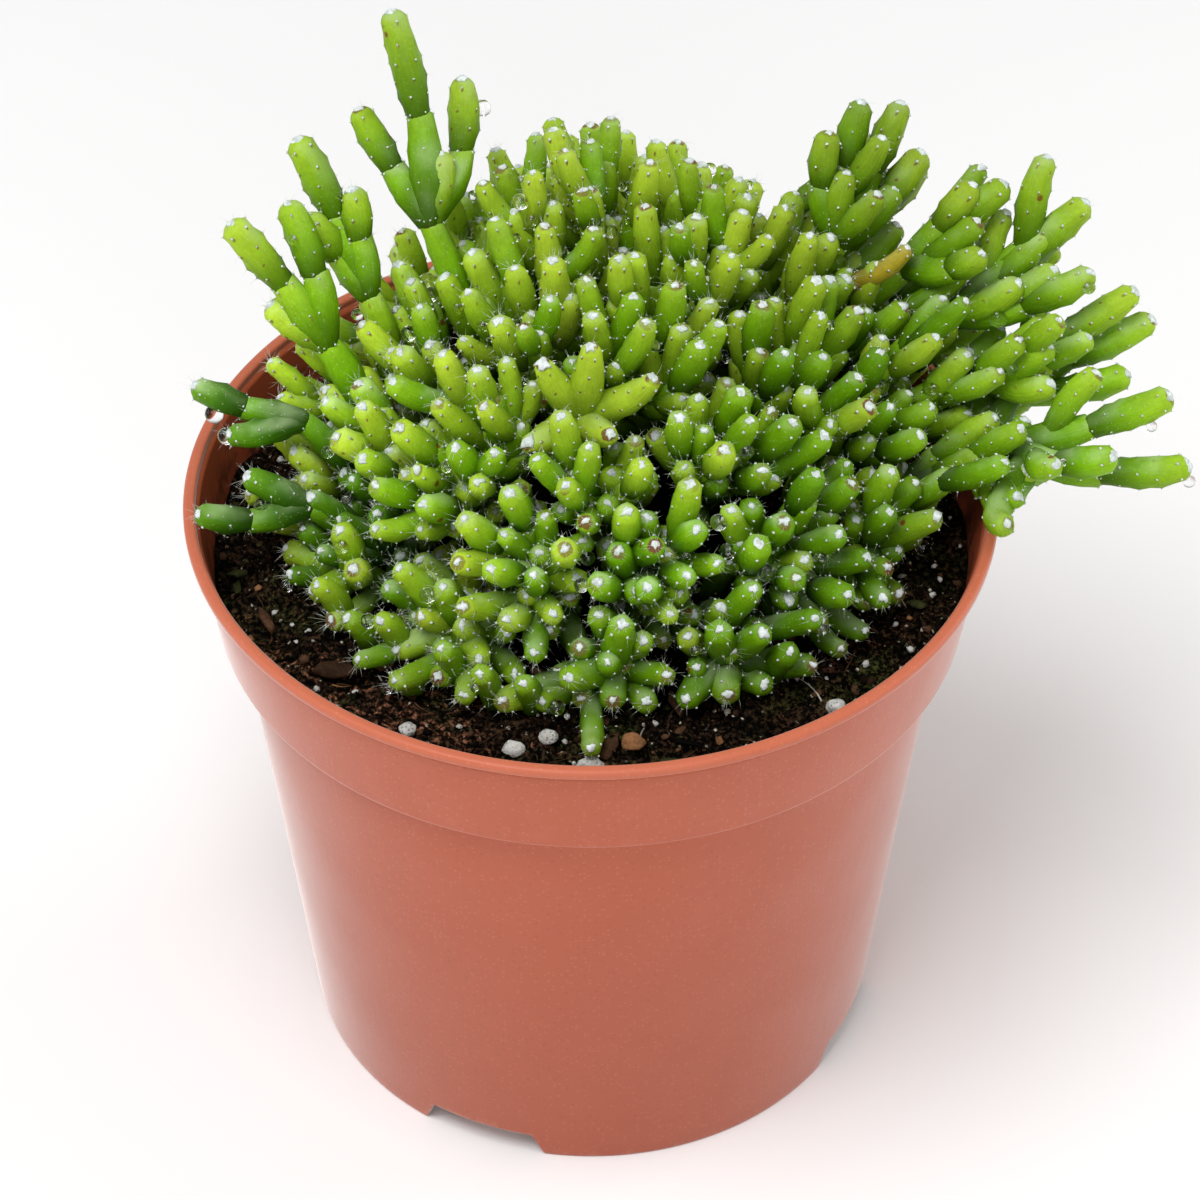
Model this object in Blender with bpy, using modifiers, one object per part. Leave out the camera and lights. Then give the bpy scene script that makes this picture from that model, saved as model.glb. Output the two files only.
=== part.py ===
"""A mound of rhipsalis in a round nursery pot: pot, potting mix, loose grains and the branching shoots.

Every length is in metres. The model is laid out around the pot's axis, with z = 0 on the pot's feet,
and is then moved so that the centre of its footprint lies on the world's origin.
"""

import bmesh
import bpy
import numpy as np
from mathutils import Vector

MM = 0.001
NAME = "potted_rhipsalis"
GAP = 0.3 * MM  # air between pieces that touch

# Pot
RIM_RADIUS = 60.0 * MM
RIM_HEIGHT = 98.6 * MM
LIP_WIDTH = 1.8 * MM
LIP_DEPTH = 1.5 * MM
LIP_ROUND = 0.4 * MM
LIP_OVERHANG = 1.4 * MM
COLLAR_HEIGHT = 18.7 * MM
COLLAR_FOOT_RADIUS = 56.0 * MM
COLLAR_STEP = 0.6 * MM
BODY_TOP_RADIUS = 52.9 * MM
FOOT_RADIUS = 44.1 * MM
WALL = 0.95 * MM
SKIRT_HEIGHT = 4.9 * MM
BASE_THICKNESS = 1.4 * MM
COLLAR_FOOT = RIM_HEIGHT - COLLAR_HEIGHT
COLLAR_TOP_RADIUS = RIM_RADIUS - LIP_OVERHANG
FLOOR_TOP = SKIRT_HEIGHT + BASE_THICKNESS
POT_SIDES = 60
NOTCHES = 4
NOTCH_AZIMUTH = np.radians(-112.5)
NOTCH_HEIGHT = 4.5 * MM
NOTCH_BOTTOM_WIDTH = 20.0 * MM
NOTCH_TOP_WIDTH = 16.5 * MM
NOTCH_REACH = 4.0 * MM  # how far a notch cuts either side of the skirt
DRAIN_HOLES = 6
DRAIN_RADIUS = 3.4 * MM
DRAIN_CIRCLE = 27.0 * MM
DRAIN_SIDES = 16

# Potting mix
MIX_LEVEL = 89.0 * MM
MIX_EDGE_DROP = 1.6 * MM
MIX_FLAT_RADIUS = 44.0 * MM
MIX_SIDES = 48

# Shoots
STEM_RADIUS = 2.55 * MM
STEM_SIDES_RESOLUTION = 1  # six sides
WELD = 0.001 * MM
AXIS_MERGE = 0.1 * MM
BASE_SHARE, JOINT_SHARE, TIP_SHARE = 0.76, 0.8, 0.6  # of the stem's radius
BULGE_AT = 0.62  # of a link's length
FOOT_RISE = 3.0 * MM
HEART = np.array((6.0, 14.0, 54.0)) * MM  # the point below the mix that the stems fan out from
CROWN_CENTRE = np.array((6.0, 14.0, 74.0)) * MM
REACH_LEFT, REACH_RIGHT = 58.0 * MM, 60.0 * MM
REACH_FRONT, REACH_BACK = 62.0 * MM, 56.0 * MM
REACH_UP = 61.0 * MM
CROWN_DEPTHS = (0.95, 1.02)
TIP_SPACING = 7.6 * MM
TIP_TRIES = 9000
LOWEST_FRONT_TIP = 6.0 * MM  # above the mix
RIM_CLEARANCE = 6.0 * MM
BUSHES = 34
ROOT_SPREAD = 45.0 * MM
BRANCH_LENGTH = 24.0 * MM
LONGEST_LINK = 15.0 * MM
LONGEST_TRUNK = 20.0 * MM
LOWEST_FORK = 3.6 * MM
EARLIEST_FORK = 0.45  # share of the way from the root to the tips
MIDDLE_JOINT_AT = 0.47  # share of the way from the fork to a tip
STEM_BEND = 0.4  # how much a stem turns towards its heading: 0 not at all, 1 fully
GATHER_ROUNDS = 12
STEM_CLEARANCE = 0.9 * MM
EASING_ROUNDS = 160
WATCHED = np.array((0.1, 0.37, 0.63, 0.9))  # places along a link where its clearance is kept
LOWEST_JOINT = 3.3 * MM  # above the mix
FORK_FREEDOM, TIP_FREEDOM, PLACED_TIP_FREEDOM = 0.6, 0.6, 0.15  # share of a push that each yields to
SEED = 13

# Shoots that stand out of the mound: root (x, y), fork (x, y, z), then each tip (x, y, z), in mm.
LONG_SHOOTS = {
    "tall_back": (
        (-14, 12), (-23, 21, 131), ((-29, 38, 157), (-19, 37, 146), (-34, 32, 144), (-22, 28, 139)),
    ),
    "back_left": ((-22, 16), (-32, 20, 119), ((-43, 30, 140), (-35, 26, 134), (-42, 23, 131))),
    "left_high": ((-26, 8), (-38, 12, 116), ((-52, 15, 136), (-44, 20, 136), (-47, 14, 122))),
    "left_over": ((-27, 0), (-42, 3, 108), ((-58, 5, 114), (-53, 0, 109))),
    "left_low": ((-28, -8), (-41, -8, 101), ((-57, -12, 104), (-50, -7, 107))),
    "right_low": ((27, 2), (60, -1, 107), ((84, 0, 116), (87, -5, 107), (75, -11, 114))),
    "right_mid": ((28, 10), (56, 10, 109), ((79, 10, 112), (83, 18, 116), (80, 17, 122))),
    "right_high": ((25, 18), (53, 20, 115), ((73, 15, 127), (73, 28, 130), (66, 30, 137))),
    "right_back": ((20, 24), (47, 24, 119), ((62, 28, 133), (56, 27, 134), (57, 17, 129))),
    "tall_right": (
        (14, 24), (36, 30, 121), ((40, 38, 141), (46, 39, 140), (49, 35, 134), (35, 33, 139)),
    ),
    "star": (
        (2, 4), (-2, -7, 116),
        ((-7, -8, 129), (0, -8, 132), (9, -9, 127), (2, -15, 121), (-9, -14, 119)),
    ),
}

# Loose grains on the mix: place (x, y) and size (x, y, z), in mm.
GRAINS = {
    "perlite_1": ((-26, -42), (3.0, 2.6, 2.2)),
    "perlite_2": ((-11, -46), (3.6, 3.0, 2.4)),
    "perlite_3": ((-6, -44), (3.2, 3.0, 2.2)),
    "perlite_4": ((0, -49), (4.2, 2.6, 2.0)),
    "perlite_5": ((35, -37), (3.2, 2.8, 2.4)),
    "pebble": ((6, -45), (4.2, 3.0, 2.4)),
    "bark_chip": ((-37, -30), (8.0, 3.4, 2.2)),
}
GRAIN_ROUGHNESS = 0.12  # how far a grain's corners stray, as a share of its size

# Colours (linear) and roughness
FINISHES = {
    "terracotta_plastic": ((0.50, 0.14, 0.08), 0.42),
    "potting_mix": ((0.03, 0.018, 0.010), 0.95),
    "perlite": ((0.72, 0.71, 0.68), 0.9),
    "bark": ((0.16, 0.07, 0.03), 0.85),
    "stem_green": ((0.13, 0.24, 0.01), 0.45),
}


def clear_scene():
    for obj in list(bpy.data.objects):
        bpy.data.objects.remove(obj, do_unlink=True)


def new_collection(name):
    collection = bpy.data.collections.new(name)
    bpy.context.scene.collection.children.link(collection)
    return collection


def new_material(name, finish):
    colour, roughness = FINISHES[finish]
    material = bpy.data.materials.new(name)
    material.use_nodes = True
    shader = material.node_tree.nodes["Principled BSDF"]
    shader.inputs["Base Color"].default_value = (*colour, 1.0)
    shader.inputs["Roughness"].default_value = roughness
    shader.inputs["Metallic"].default_value = 0.0
    return material


def add_object(name, data, collection, parent=None):
    obj = bpy.data.objects.new(name, data)
    collection.objects.link(obj)
    obj.parent = parent
    return obj


def add_piece(name, data, finish, parts, stand):
    """A visible sub-part with its own material."""
    piece = add_object(name, data, parts, stand)
    piece.data.materials.append(new_material(f"{name}_finish", finish))
    return piece


def hide_helper(obj):
    obj.hide_render = True
    obj.display_type = "WIRE"


def add_boolean(obj, other, operation):
    cut = obj.modifiers.new(f"{operation.lower()}_{other.name}", "BOOLEAN")
    cut.operation = operation
    cut.solver = "EXACT"
    cut.object = other


def add_screw(obj, sides):
    screw = obj.modifiers.new("turn", "SCREW")
    screw.axis = "Z"
    screw.steps = sides
    screw.render_steps = sides
    screw.use_merge_vertices = True
    screw.merge_threshold = AXIS_MERGE
    screw.use_smooth_shade = True


def profile_mesh(name, profile):
    """Edges through (radius, z) points that start and end on the axis, for a Screw modifier."""
    mesh = bpy.data.meshes.new(name)
    steps = [(i, i + 1) for i in range(len(profile) - 1)]
    mesh.from_pydata([(radius, 0.0, z) for radius, z in profile], steps, [])
    return mesh


# ---------------------------------------------------------------- pot


def body_radius(z):
    """Outer radius of the tapered body at height z."""
    return FOOT_RADIUS + (BODY_TOP_RADIUS - FOOT_RADIUS) * z / COLLAR_FOOT


def collar_inner_radius(z):
    """Inner radius of the collar at height z."""
    share = (z - COLLAR_FOOT - WALL) / (COLLAR_HEIGHT - WALL - LIP_DEPTH)
    return COLLAR_FOOT_RADIUS - WALL + (COLLAR_TOP_RADIUS - COLLAR_FOOT_RADIUS) * share


def pot_profile():
    """From the middle of the floor, up inside, over the lip, down outside and under the floor."""
    lip_foot = RIM_HEIGHT - LIP_DEPTH
    inside = [
        (0.0, FLOOR_TOP),
        (body_radius(FLOOR_TOP) - WALL, FLOOR_TOP),
        (BODY_TOP_RADIUS - WALL, COLLAR_FOOT + WALL - COLLAR_STEP),
        (COLLAR_FOOT_RADIUS - WALL, COLLAR_FOOT + WALL),
        (COLLAR_TOP_RADIUS - WALL, lip_foot),
    ]
    lip = [
        (RIM_RADIUS - LIP_WIDTH, RIM_HEIGHT - LIP_ROUND),
        (RIM_RADIUS - LIP_WIDTH + LIP_ROUND, RIM_HEIGHT),
        (RIM_RADIUS - LIP_ROUND, RIM_HEIGHT),
        (RIM_RADIUS, RIM_HEIGHT - LIP_ROUND),
        (RIM_RADIUS, lip_foot + LIP_ROUND),
        (RIM_RADIUS - LIP_ROUND, lip_foot),
    ]
    outside = [
        (COLLAR_TOP_RADIUS, lip_foot),
        (COLLAR_FOOT_RADIUS, COLLAR_FOOT),
        (BODY_TOP_RADIUS, COLLAR_FOOT - COLLAR_STEP),
        (FOOT_RADIUS, 0.0),
    ]
    under = [
        (FOOT_RADIUS - WALL, 0.0),
        (body_radius(SKIRT_HEIGHT) - WALL, SKIRT_HEIGHT),
        (0.0, SKIRT_HEIGHT),
    ]
    return inside + lip + outside + under


def notch_mesh():
    """A wedge that is wide at the feet and narrower at the notch's top, and starts below the feet."""
    mesh = bpy.data.meshes.new("notch_cutter")
    block = bmesh.new()
    bmesh.ops.create_cube(block, size=2.0)
    slope = (NOTCH_BOTTOM_WIDTH - NOTCH_TOP_WIDTH) / NOTCH_HEIGHT / 2
    for corner in block.verts:
        z = NOTCH_HEIGHT if corner.co.z > 0 else -NOTCH_HEIGHT
        half_width = NOTCH_BOTTOM_WIDTH / 2 - slope * z
        corner.co = Vector((corner.co.x * NOTCH_REACH, corner.co.y * half_width, z))
    block.to_mesh(mesh)
    block.free()
    return mesh


def drain_mesh():
    mesh = bpy.data.meshes.new("drain_cutter")
    plug = bmesh.new()
    bmesh.ops.create_cone(
        plug, cap_ends=True, segments=DRAIN_SIDES, radius1=DRAIN_RADIUS, radius2=DRAIN_RADIUS,
        depth=BASE_THICKNESS * 3,
    )
    plug.to_mesh(mesh)
    plug.free()
    return mesh


def add_ring_of_cutters(obj, name, mesh, count, radius, z, first_azimuth, cutters, stand):
    """Cutters spaced evenly on a circle, each turned to face outwards, taken away from obj."""
    for k in range(count):
        azimuth = first_azimuth + 2 * np.pi * k / count
        cutter = add_object(f"{name}_{k + 1}", mesh, cutters, stand)
        cutter.location = (radius * np.cos(azimuth), radius * np.sin(azimuth), z)
        cutter.rotation_euler = (0.0, 0.0, azimuth)
        hide_helper(cutter)
        add_boolean(obj, cutter, "DIFFERENCE")


def make_pot(parts, cutters, stand):
    pot = add_piece("pot", profile_mesh("pot", pot_profile()), "terracotta_plastic", parts, stand)
    add_screw(pot, POT_SIDES)
    add_ring_of_cutters(pot, "notch_cutter", notch_mesh(), NOTCHES, FOOT_RADIUS, 0.0,
                        NOTCH_AZIMUTH, cutters, stand)
    floor_middle = SKIRT_HEIGHT + BASE_THICKNESS / 2
    add_ring_of_cutters(pot, "drain_cutter", drain_mesh(), DRAIN_HOLES, DRAIN_CIRCLE, floor_middle,
                        0.0, cutters, stand)


# ---------------------------------------------------------------- potting mix and loose grains


def mix_height(radius):
    """Top of the mix: flat under the plant, sinking a little towards the wall."""
    edge = collar_inner_radius(MIX_LEVEL) - GAP
    share = np.clip((radius - MIX_FLAT_RADIUS) / (edge - MIX_FLAT_RADIUS), 0.0, 1.0)
    return MIX_LEVEL - MIX_EDGE_DROP * share


def mix_profile():
    edge_z = MIX_LEVEL - MIX_EDGE_DROP
    ledge_z = COLLAR_FOOT + WALL + GAP
    floor_z = FLOOR_TOP + GAP
    return [
        (0.0, MIX_LEVEL),
        (MIX_FLAT_RADIUS, MIX_LEVEL),
        (collar_inner_radius(edge_z) - GAP, edge_z),
        (collar_inner_radius(ledge_z) - GAP, ledge_z),
        (BODY_TOP_RADIUS - WALL - GAP, ledge_z - COLLAR_STEP),
        (body_radius(floor_z) - WALL - GAP, floor_z),
        (0.0, floor_z),
    ]


def make_mix(parts, stand):
    mesh = profile_mesh("potting_mix", mix_profile())
    mix = add_piece("potting_mix", mesh, "potting_mix", parts, stand)
    add_screw(mix, MIX_SIDES)


def make_grain(name, place, size, finish, rng, parts, stand):
    """A rough lump that lies just clear of the mix."""
    mesh = bpy.data.meshes.new(name)
    lump = bmesh.new()
    bmesh.ops.create_icosphere(lump, subdivisions=1, radius=1.0)
    for corner in lump.verts:
        stray = 1.0 + rng.uniform(-GRAIN_ROUGHNESS, GRAIN_ROUGHNESS)
        corner.co = Vector([corner.co[i] * size[i] * MM / 2 * stray for i in range(3)])
    lowest = min(corner.co.z for corner in lump.verts)
    lump.to_mesh(mesh)
    lump.free()
    grain = add_piece(name, mesh, finish, parts, stand)
    x, y = place[0] * MM, place[1] * MM
    grain.location = (x, y, mix_height(np.hypot(x, y)) + GAP - lowest)


def make_grains(parts, stand):
    rng = np.random.default_rng(SEED)
    finishes = {"pebble": "bark", "bark_chip": "bark"}
    for name, (place, size) in GRAINS.items():
        make_grain(name, place, size, finishes.get(name, "perlite"), rng, parts, stand)


# ---------------------------------------------------------------- how the shoots grow


def heading(point):
    """Unit vector that points from the heart of the plant to a point."""
    out = point - HEART
    return out / np.linalg.norm(out)


def crown_surface(direction):
    """Where the crown's surface, an ellipsoid with unlike quarters, lies in a direction."""
    reach = np.array((
        REACH_RIGHT if direction[0] > 0 else REACH_LEFT,
        REACH_BACK if direction[1] > 0 else REACH_FRONT,
        REACH_UP,
    ))
    return CROWN_CENTRE + direction / np.linalg.norm(direction / reach)


def room_for_tip(point):
    """Whether a tip keeps clear of the mix and of the pot's rim."""
    lowest = MIX_LEVEL + LOWEST_FRONT_TIP if point[1] < HEART[1] - TIP_SPACING else RIM_HEIGHT
    near_rim = np.hypot(point[0], point[1]) > COLLAR_FOOT_RADIUS - RIM_CLEARANCE
    return point[2] > lowest and not (near_rim and point[2] < RIM_HEIGHT + RIM_CLEARANCE)


def throw_tips(rng, taken, spacing, tries, depths):
    """Adds tips at random on the crown, none nearer than spacing to another."""
    for _ in range(tries):
        direction = rng.normal(size=3)
        direction /= np.linalg.norm(direction)
        point = CROWN_CENTRE + (crown_surface(direction) - CROWN_CENTRE) * rng.uniform(*depths)
        if room_for_tip(point) and np.linalg.norm(taken - point, axis=1).min() >= spacing:
            taken = np.vstack((taken, point))
    return taken


def gather(points, groups):
    """Sorts points into groups of neighbours."""
    centres = [points[0]]
    while len(centres) < groups:
        apart = np.linalg.norm(points[:, None] - np.array(centres), axis=2).min(axis=1)
        centres.append(points[np.argmax(apart)])
    centres = np.array(centres)
    for _ in range(GATHER_ROUNDS):
        nearest = np.linalg.norm(points[:, None] - centres, axis=2).argmin(axis=1)
        centres = np.array([points[nearest == k].mean(axis=0) for k in range(groups)])
    return [points[nearest == k] for k in range(groups)]


def plan_bush(tips):
    """Root and fork of a shoot that ends in these tips."""
    middle = tips.mean(axis=0)
    out = heading(middle)
    flat = out[:2] * (MIX_LEVEL - HEART[2]) / out[2]
    flat *= min(1.0, ROOT_SPREAD / np.linalg.norm(flat))
    root = np.array((*(HEART[:2] + flat), MIX_LEVEL + GAP))
    share = max(1 - BRANCH_LENGTH / np.linalg.norm(middle - root), EARLIEST_FORK)
    fork = root + (middle - root) * share
    fork[2] = max(fork[2], MIX_LEVEL + LOWEST_FORK)
    return root, fork, tips


def plan_shoots():
    """Name of each shoot to its root, fork and tips."""
    shoots = {}
    for name, (root, fork, tips) in LONG_SHOOTS.items():
        foot = np.array((root[0] * MM, root[1] * MM, MIX_LEVEL + GAP))
        shoots[f"shoot_{name}"] = (foot, np.array(fork) * MM, np.array(tips) * MM)
    long_tips = np.vstack([tips for _, _, tips in shoots.values()])
    rng = np.random.default_rng(SEED)
    all_tips = throw_tips(rng, long_tips, TIP_SPACING, TIP_TRIES, CROWN_DEPTHS)
    for k, tips in enumerate(gather(all_tips[len(long_tips):], BUSHES)):
        shoots[f"shoot_{k + 1:02d}"] = plan_bush(tips)
    return shoots


def rim_lift(spots):
    """How far each spot has to rise to pass over the pot's rim with its stem clear of it."""
    passing = RIM_HEIGHT + STEM_RADIUS + STEM_CLEARANCE
    within = collar_inner_radius(MIX_LEVEL) - STEM_RADIUS - STEM_CLEARANCE
    outside = np.hypot(spots[..., 0], spots[..., 1]) > within
    return np.where(outside, passing - spots[..., 2], 0.0).clip(0.0)


class Skeleton:
    """Joints of all the shoots, the links between them, and each shoot's stems as joint numbers."""

    def __init__(self):
        self.joints = []
        self.freedom = []
        self.links = []
        self.owners = []
        self.stems = {}

    def add_joint(self, point, freedom):
        self.joints.append(point)
        self.freedom.append(freedom)
        return len(self.joints) - 1

    def add_stem(self, name, numbers):
        self.stems.setdefault(name, []).append(numbers)
        self.links += list(zip(numbers[:-1], numbers[1:]))
        self.owners += [name] * (len(numbers) - 1)

    def add_shoot(self, name, root, fork, tips, tip_freedom):
        """A trunk from root to fork, and a stem from the fork to each tip."""
        trunk = [self.add_joint(root, (0.5, 0.5, 0.0))]
        if np.linalg.norm(fork - root) > LONGEST_TRUNK:
            trunk.append(self.add_joint((root + fork) / 2, (1.0, 1.0, 1.0)))
        trunk.append(self.add_joint(fork, (FORK_FREEDOM,) * 3))
        self.add_stem(name, trunk)
        for tip in tips:
            stem = [trunk[-1]]
            length = np.linalg.norm(tip - fork)
            if length > LONGEST_LINK:
                along = fork + (tip - fork) * MIDDLE_JOINT_AT
                behind = tip - heading(tip) * length / 2
                bent = along * (1 - STEM_BEND) + behind * STEM_BEND
                stem.append(self.add_joint(bent, (1.0, 1.0, 1.0)))
            stem.append(self.add_joint(tip, (tip_freedom,) * 3))
            self.add_stem(name, stem)

    def ease_apart(self):
        """Pushes the links of different shoots aside until they clear each other."""
        joints, freedom = np.array(self.joints), np.array(self.freedom)
        links = np.array(self.links)
        owners = np.array(self.owners)
        middles = joints[links].mean(axis=1)
        near = np.linalg.norm(middles[:, None] - middles, axis=2) < 2 * LONGEST_LINK
        first, second = np.nonzero(np.triu(near & (owners[:, None] != owners)))
        wanted = 2 * STEM_RADIUS + STEM_CLEARANCE
        for _ in range(EASING_ROUNDS):
            starts, ends = joints[links[:, 0]], joints[links[:, 1]]
            spots = starts[:, None] + (ends - starts)[:, None] * WATCHED[None, :, None]
            away = spots[first][:, :, None] - spots[second][:, None]
            apart = np.linalg.norm(away, axis=3)
            short = (wanted - apart).clip(0.0)
            push = away * (short / apart / 2)[..., None]
            total, count = np.zeros_like(joints), np.zeros(len(joints))
            for end, weight in ((0, 1 - WATCHED), (1, WATCHED)):
                here, there = weight[:, None], weight[None, :]
                np.add.at(total, links[first, end], (push * here[..., None]).sum(axis=(1, 2)))
                np.add.at(total, links[second, end], -(push * there[..., None]).sum(axis=(1, 2)))
                np.add.at(count, links[first, end], ((short > 0) * here).sum(axis=(1, 2)))
                np.add.at(count, links[second, end], ((short > 0) * there).sum(axis=(1, 2)))
            lift = rim_lift(spots)
            for end, weight in ((0, 1 - WATCHED), (1, WATCHED)):
                np.add.at(total[:, 2], links[:, end], (lift * weight).sum(axis=1))
                np.add.at(count, links[:, end], ((lift > 0) * weight).sum(axis=1))
            joints += freedom * total / np.maximum(count, 1.0)[:, None]
            free = freedom[:, 2] > 0
            joints[free, 2] = joints[free, 2].clip(MIX_LEVEL + LOWEST_JOINT, None)
        self.joints = joints


def grow_skeleton():
    skeleton = Skeleton()
    for name, (root, fork, tips) in plan_shoots().items():
        placed = name.removeprefix("shoot_") in LONG_SHOOTS
        skeleton.add_shoot(name, root, fork, tips, PLACED_TIP_FREEDOM if placed else TIP_FREEDOM)
    skeleton.ease_apart()
    return skeleton


# ---------------------------------------------------------------- shoots


def stem_mesh(name, points, shares):
    """A closed tube through the points, as thick at each as its share of the stem's radius."""
    curve = bpy.data.curves.new(name, "CURVE")
    curve.dimensions = "3D"
    curve.bevel_depth = STEM_RADIUS
    curve.bevel_resolution = STEM_SIDES_RESOLUTION
    curve.use_fill_caps = True
    spline = curve.splines.new("POLY")
    spline.points.add(len(points) - 1)
    for knot, point, share in zip(spline.points, points, shares):
        knot.co = (*point, 1.0)
        knot.radius = share
    guide = bpy.data.objects.new(name, curve)
    bpy.context.scene.collection.objects.link(guide)
    graph = bpy.context.evaluated_depsgraph_get()
    mesh = bpy.data.meshes.new_from_object(guide.evaluated_get(graph))
    bpy.data.objects.remove(guide, do_unlink=True)
    bpy.data.curves.remove(curve)
    weld = bmesh.new()
    weld.from_mesh(mesh)
    bmesh.ops.remove_doubles(weld, verts=weld.verts, dist=WELD)
    bmesh.ops.recalc_face_normals(weld, faces=weld.faces)
    weld.to_mesh(mesh)
    weld.free()
    mesh.shade_smooth()
    return mesh


def outer_link(joints):
    """Points and radius shares of a stem's part beyond its fork, fullest in its last link."""
    inner, tip = joints[-2], joints[-1]
    bulge = inner + (tip - inner) * BULGE_AT
    points = [*joints[:-1], bulge, tip]
    shares = [BASE_SHARE] + [JOINT_SHARE] * (len(joints) - 2) + [1.0, TIP_SHARE]
    return points, shares


def make_shoot(name, trunk, stems, parts, branches, stand):
    """The trunk runs on into its straightest stem, and the other stems are joined to it."""
    onward = trunk[-1] - trunk[-2]
    ahead = [onward @ (stem[-1] - stem[0]) / np.linalg.norm(stem[-1] - stem[0]) for stem in stems]
    leader = int(np.argmax(ahead))
    points, shares = outer_link(stems[leader])
    foot = trunk[0]
    trunk_points = [foot, foot + (0.0, 0.0, FOOT_RISE), *trunk[1:-1]]
    trunk_shares = [JOINT_SHARE, 1.0] + [JOINT_SHARE] * (len(trunk) - 2)
    shares[0] = 1.0
    mesh = stem_mesh(name, trunk_points + points, trunk_shares + shares)
    shoot = add_piece(name, mesh, "stem_green", parts, stand)
    for k, stem in enumerate(stems):
        if k == leader:
            continue
        points, shares = outer_link(stem)
        branch_name = f"{name}_branch_{k + 1}"
        branch = add_object(branch_name, stem_mesh(branch_name, points, shares), branches, stand)
        hide_helper(branch)
        add_boolean(shoot, branch, "UNION")


def make_shoots(parts, branches, stand):
    skeleton = grow_skeleton()
    for name, stems in skeleton.stems.items():
        trunk, *outer = [skeleton.joints[numbers] for numbers in stems]
        make_shoot(name, trunk, outer, parts, branches, stand)


# ---------------------------------------------------------------- the whole plant


def centre_footprint(parts, stand):
    """Moves the model so that the middle of its bounding box's underside is the world's origin."""
    graph = bpy.context.evaluated_depsgraph_get()
    corners = []
    for piece in parts.objects:
        solid = piece.evaluated_get(graph)
        corners += [solid.matrix_world @ Vector(corner) for corner in solid.bound_box]
    low, high = np.min(corners, axis=0), np.max(corners, axis=0)
    stand.location = (-(low[0] + high[0]) / 2, -(low[1] + high[1]) / 2, -low[2])


def main():
    clear_scene()
    parts = new_collection(NAME)
    cutters = new_collection("cutters")
    branches = new_collection("joined_branches")
    stand = add_object("pot_axis", None, parts)
    make_pot(parts, cutters, stand)
    make_mix(parts, stand)
    make_grains(parts, stand)
    make_shoots(parts, branches, stand)
    centre_footprint(parts, stand)


main()
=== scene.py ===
"""Looks of the potted rhipsalis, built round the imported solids.

The plant grows by the same rule as its solids, so each fine stem lies over the solid that it
stands for. Lengths are in metres. Shapes are worked out with the pot's axis at x = y = 0, and
Workshop carries them to the frame's own place.
"""

from __future__ import annotations

import logging
import math
from dataclasses import dataclass, field, replace
from enum import Enum
from typing import Any, ClassVar

import bpy
import numpy as np
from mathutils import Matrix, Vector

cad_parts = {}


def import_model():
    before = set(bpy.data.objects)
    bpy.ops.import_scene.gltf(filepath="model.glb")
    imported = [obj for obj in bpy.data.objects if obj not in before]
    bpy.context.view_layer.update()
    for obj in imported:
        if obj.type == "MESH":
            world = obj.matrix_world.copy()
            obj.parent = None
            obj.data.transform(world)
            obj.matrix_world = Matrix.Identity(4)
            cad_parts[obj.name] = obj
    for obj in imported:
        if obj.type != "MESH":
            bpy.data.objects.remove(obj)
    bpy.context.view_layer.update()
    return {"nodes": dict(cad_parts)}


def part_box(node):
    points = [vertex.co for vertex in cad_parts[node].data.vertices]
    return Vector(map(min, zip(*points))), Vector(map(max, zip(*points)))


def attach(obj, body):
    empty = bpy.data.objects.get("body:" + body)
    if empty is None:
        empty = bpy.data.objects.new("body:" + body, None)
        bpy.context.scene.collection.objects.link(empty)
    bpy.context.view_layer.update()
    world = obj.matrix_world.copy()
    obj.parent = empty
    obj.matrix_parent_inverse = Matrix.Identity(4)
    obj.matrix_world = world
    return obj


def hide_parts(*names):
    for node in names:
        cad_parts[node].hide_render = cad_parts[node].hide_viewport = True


LOG = logging.getLogger("rhipsalis")
MM = 0.001
GAP = 0.3 * MM
TURN = 2.0 * math.pi
Array = np.ndarray
Colour = tuple[float, float, float]
# Places in rising order, and the value at each.
Steps = tuple[tuple[float, ...], tuple[float, ...]]


class Slot(Enum):
    """Material slots of the record."""

    POT = "terracotta_plastic"
    MIX = "potting_mix"
    PERLITE = "perlite"
    BARK = "bark"
    STEM = "stem_green"


class LinkKind(Enum):
    """Where in a shoot a link stands."""

    TRUNK = "trunk"
    INNER = "inner"
    TIP = "tip"
    FILL = "fill"


# ---------------------------------------------------------------- surfaces


def unit(vectors: Array) -> Array:
    """Vectors brought to length one along their last axis."""
    return vectors / np.maximum(np.linalg.norm(vectors, axis=-1, keepdims=True), 1e-12)


def across(direction: Array) -> tuple[Array, Array]:
    """Two unit vectors square to each direction and to each other.

    Args:
        direction: unit vectors, shape (..., 3).

    Returns:
        side and up with side x up = direction.
    """
    guide = np.where(np.abs(direction[..., 2:3]) < 0.8, (0.0, 0.0, 1.0), (0.0, 1.0, 0.0))
    side = unit(np.cross(guide, direction))
    return side, np.cross(direction, side)


def spokes(angle: Array) -> Array:
    """Unit vectors (cos, sin) at angles."""
    return np.stack((np.cos(angle), np.sin(angle)), axis=-1)


def from_axis(points: Array) -> Array:
    """Distance of points from the pot's axis."""
    return np.hypot(points[..., 0], points[..., 1])


def turned(radius: Array, height: Array, angle: Array) -> Array:
    """Rings about the axis: point = (radius cos angle, radius sin angle, height).

    Args:
        radius: one number per ring or per point, shape (rings, 1) or (rings, sides).
        height: the same.
        angle: shape (sides,).

    Returns:
        Points, shape (rings, sides, 3).
    """
    shape = (len(radius), len(angle))
    flat = np.broadcast_to(radius, shape)[..., None] * spokes(angle)
    return np.concatenate((flat, np.broadcast_to(height, shape)[..., None]), axis=-1)


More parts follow.
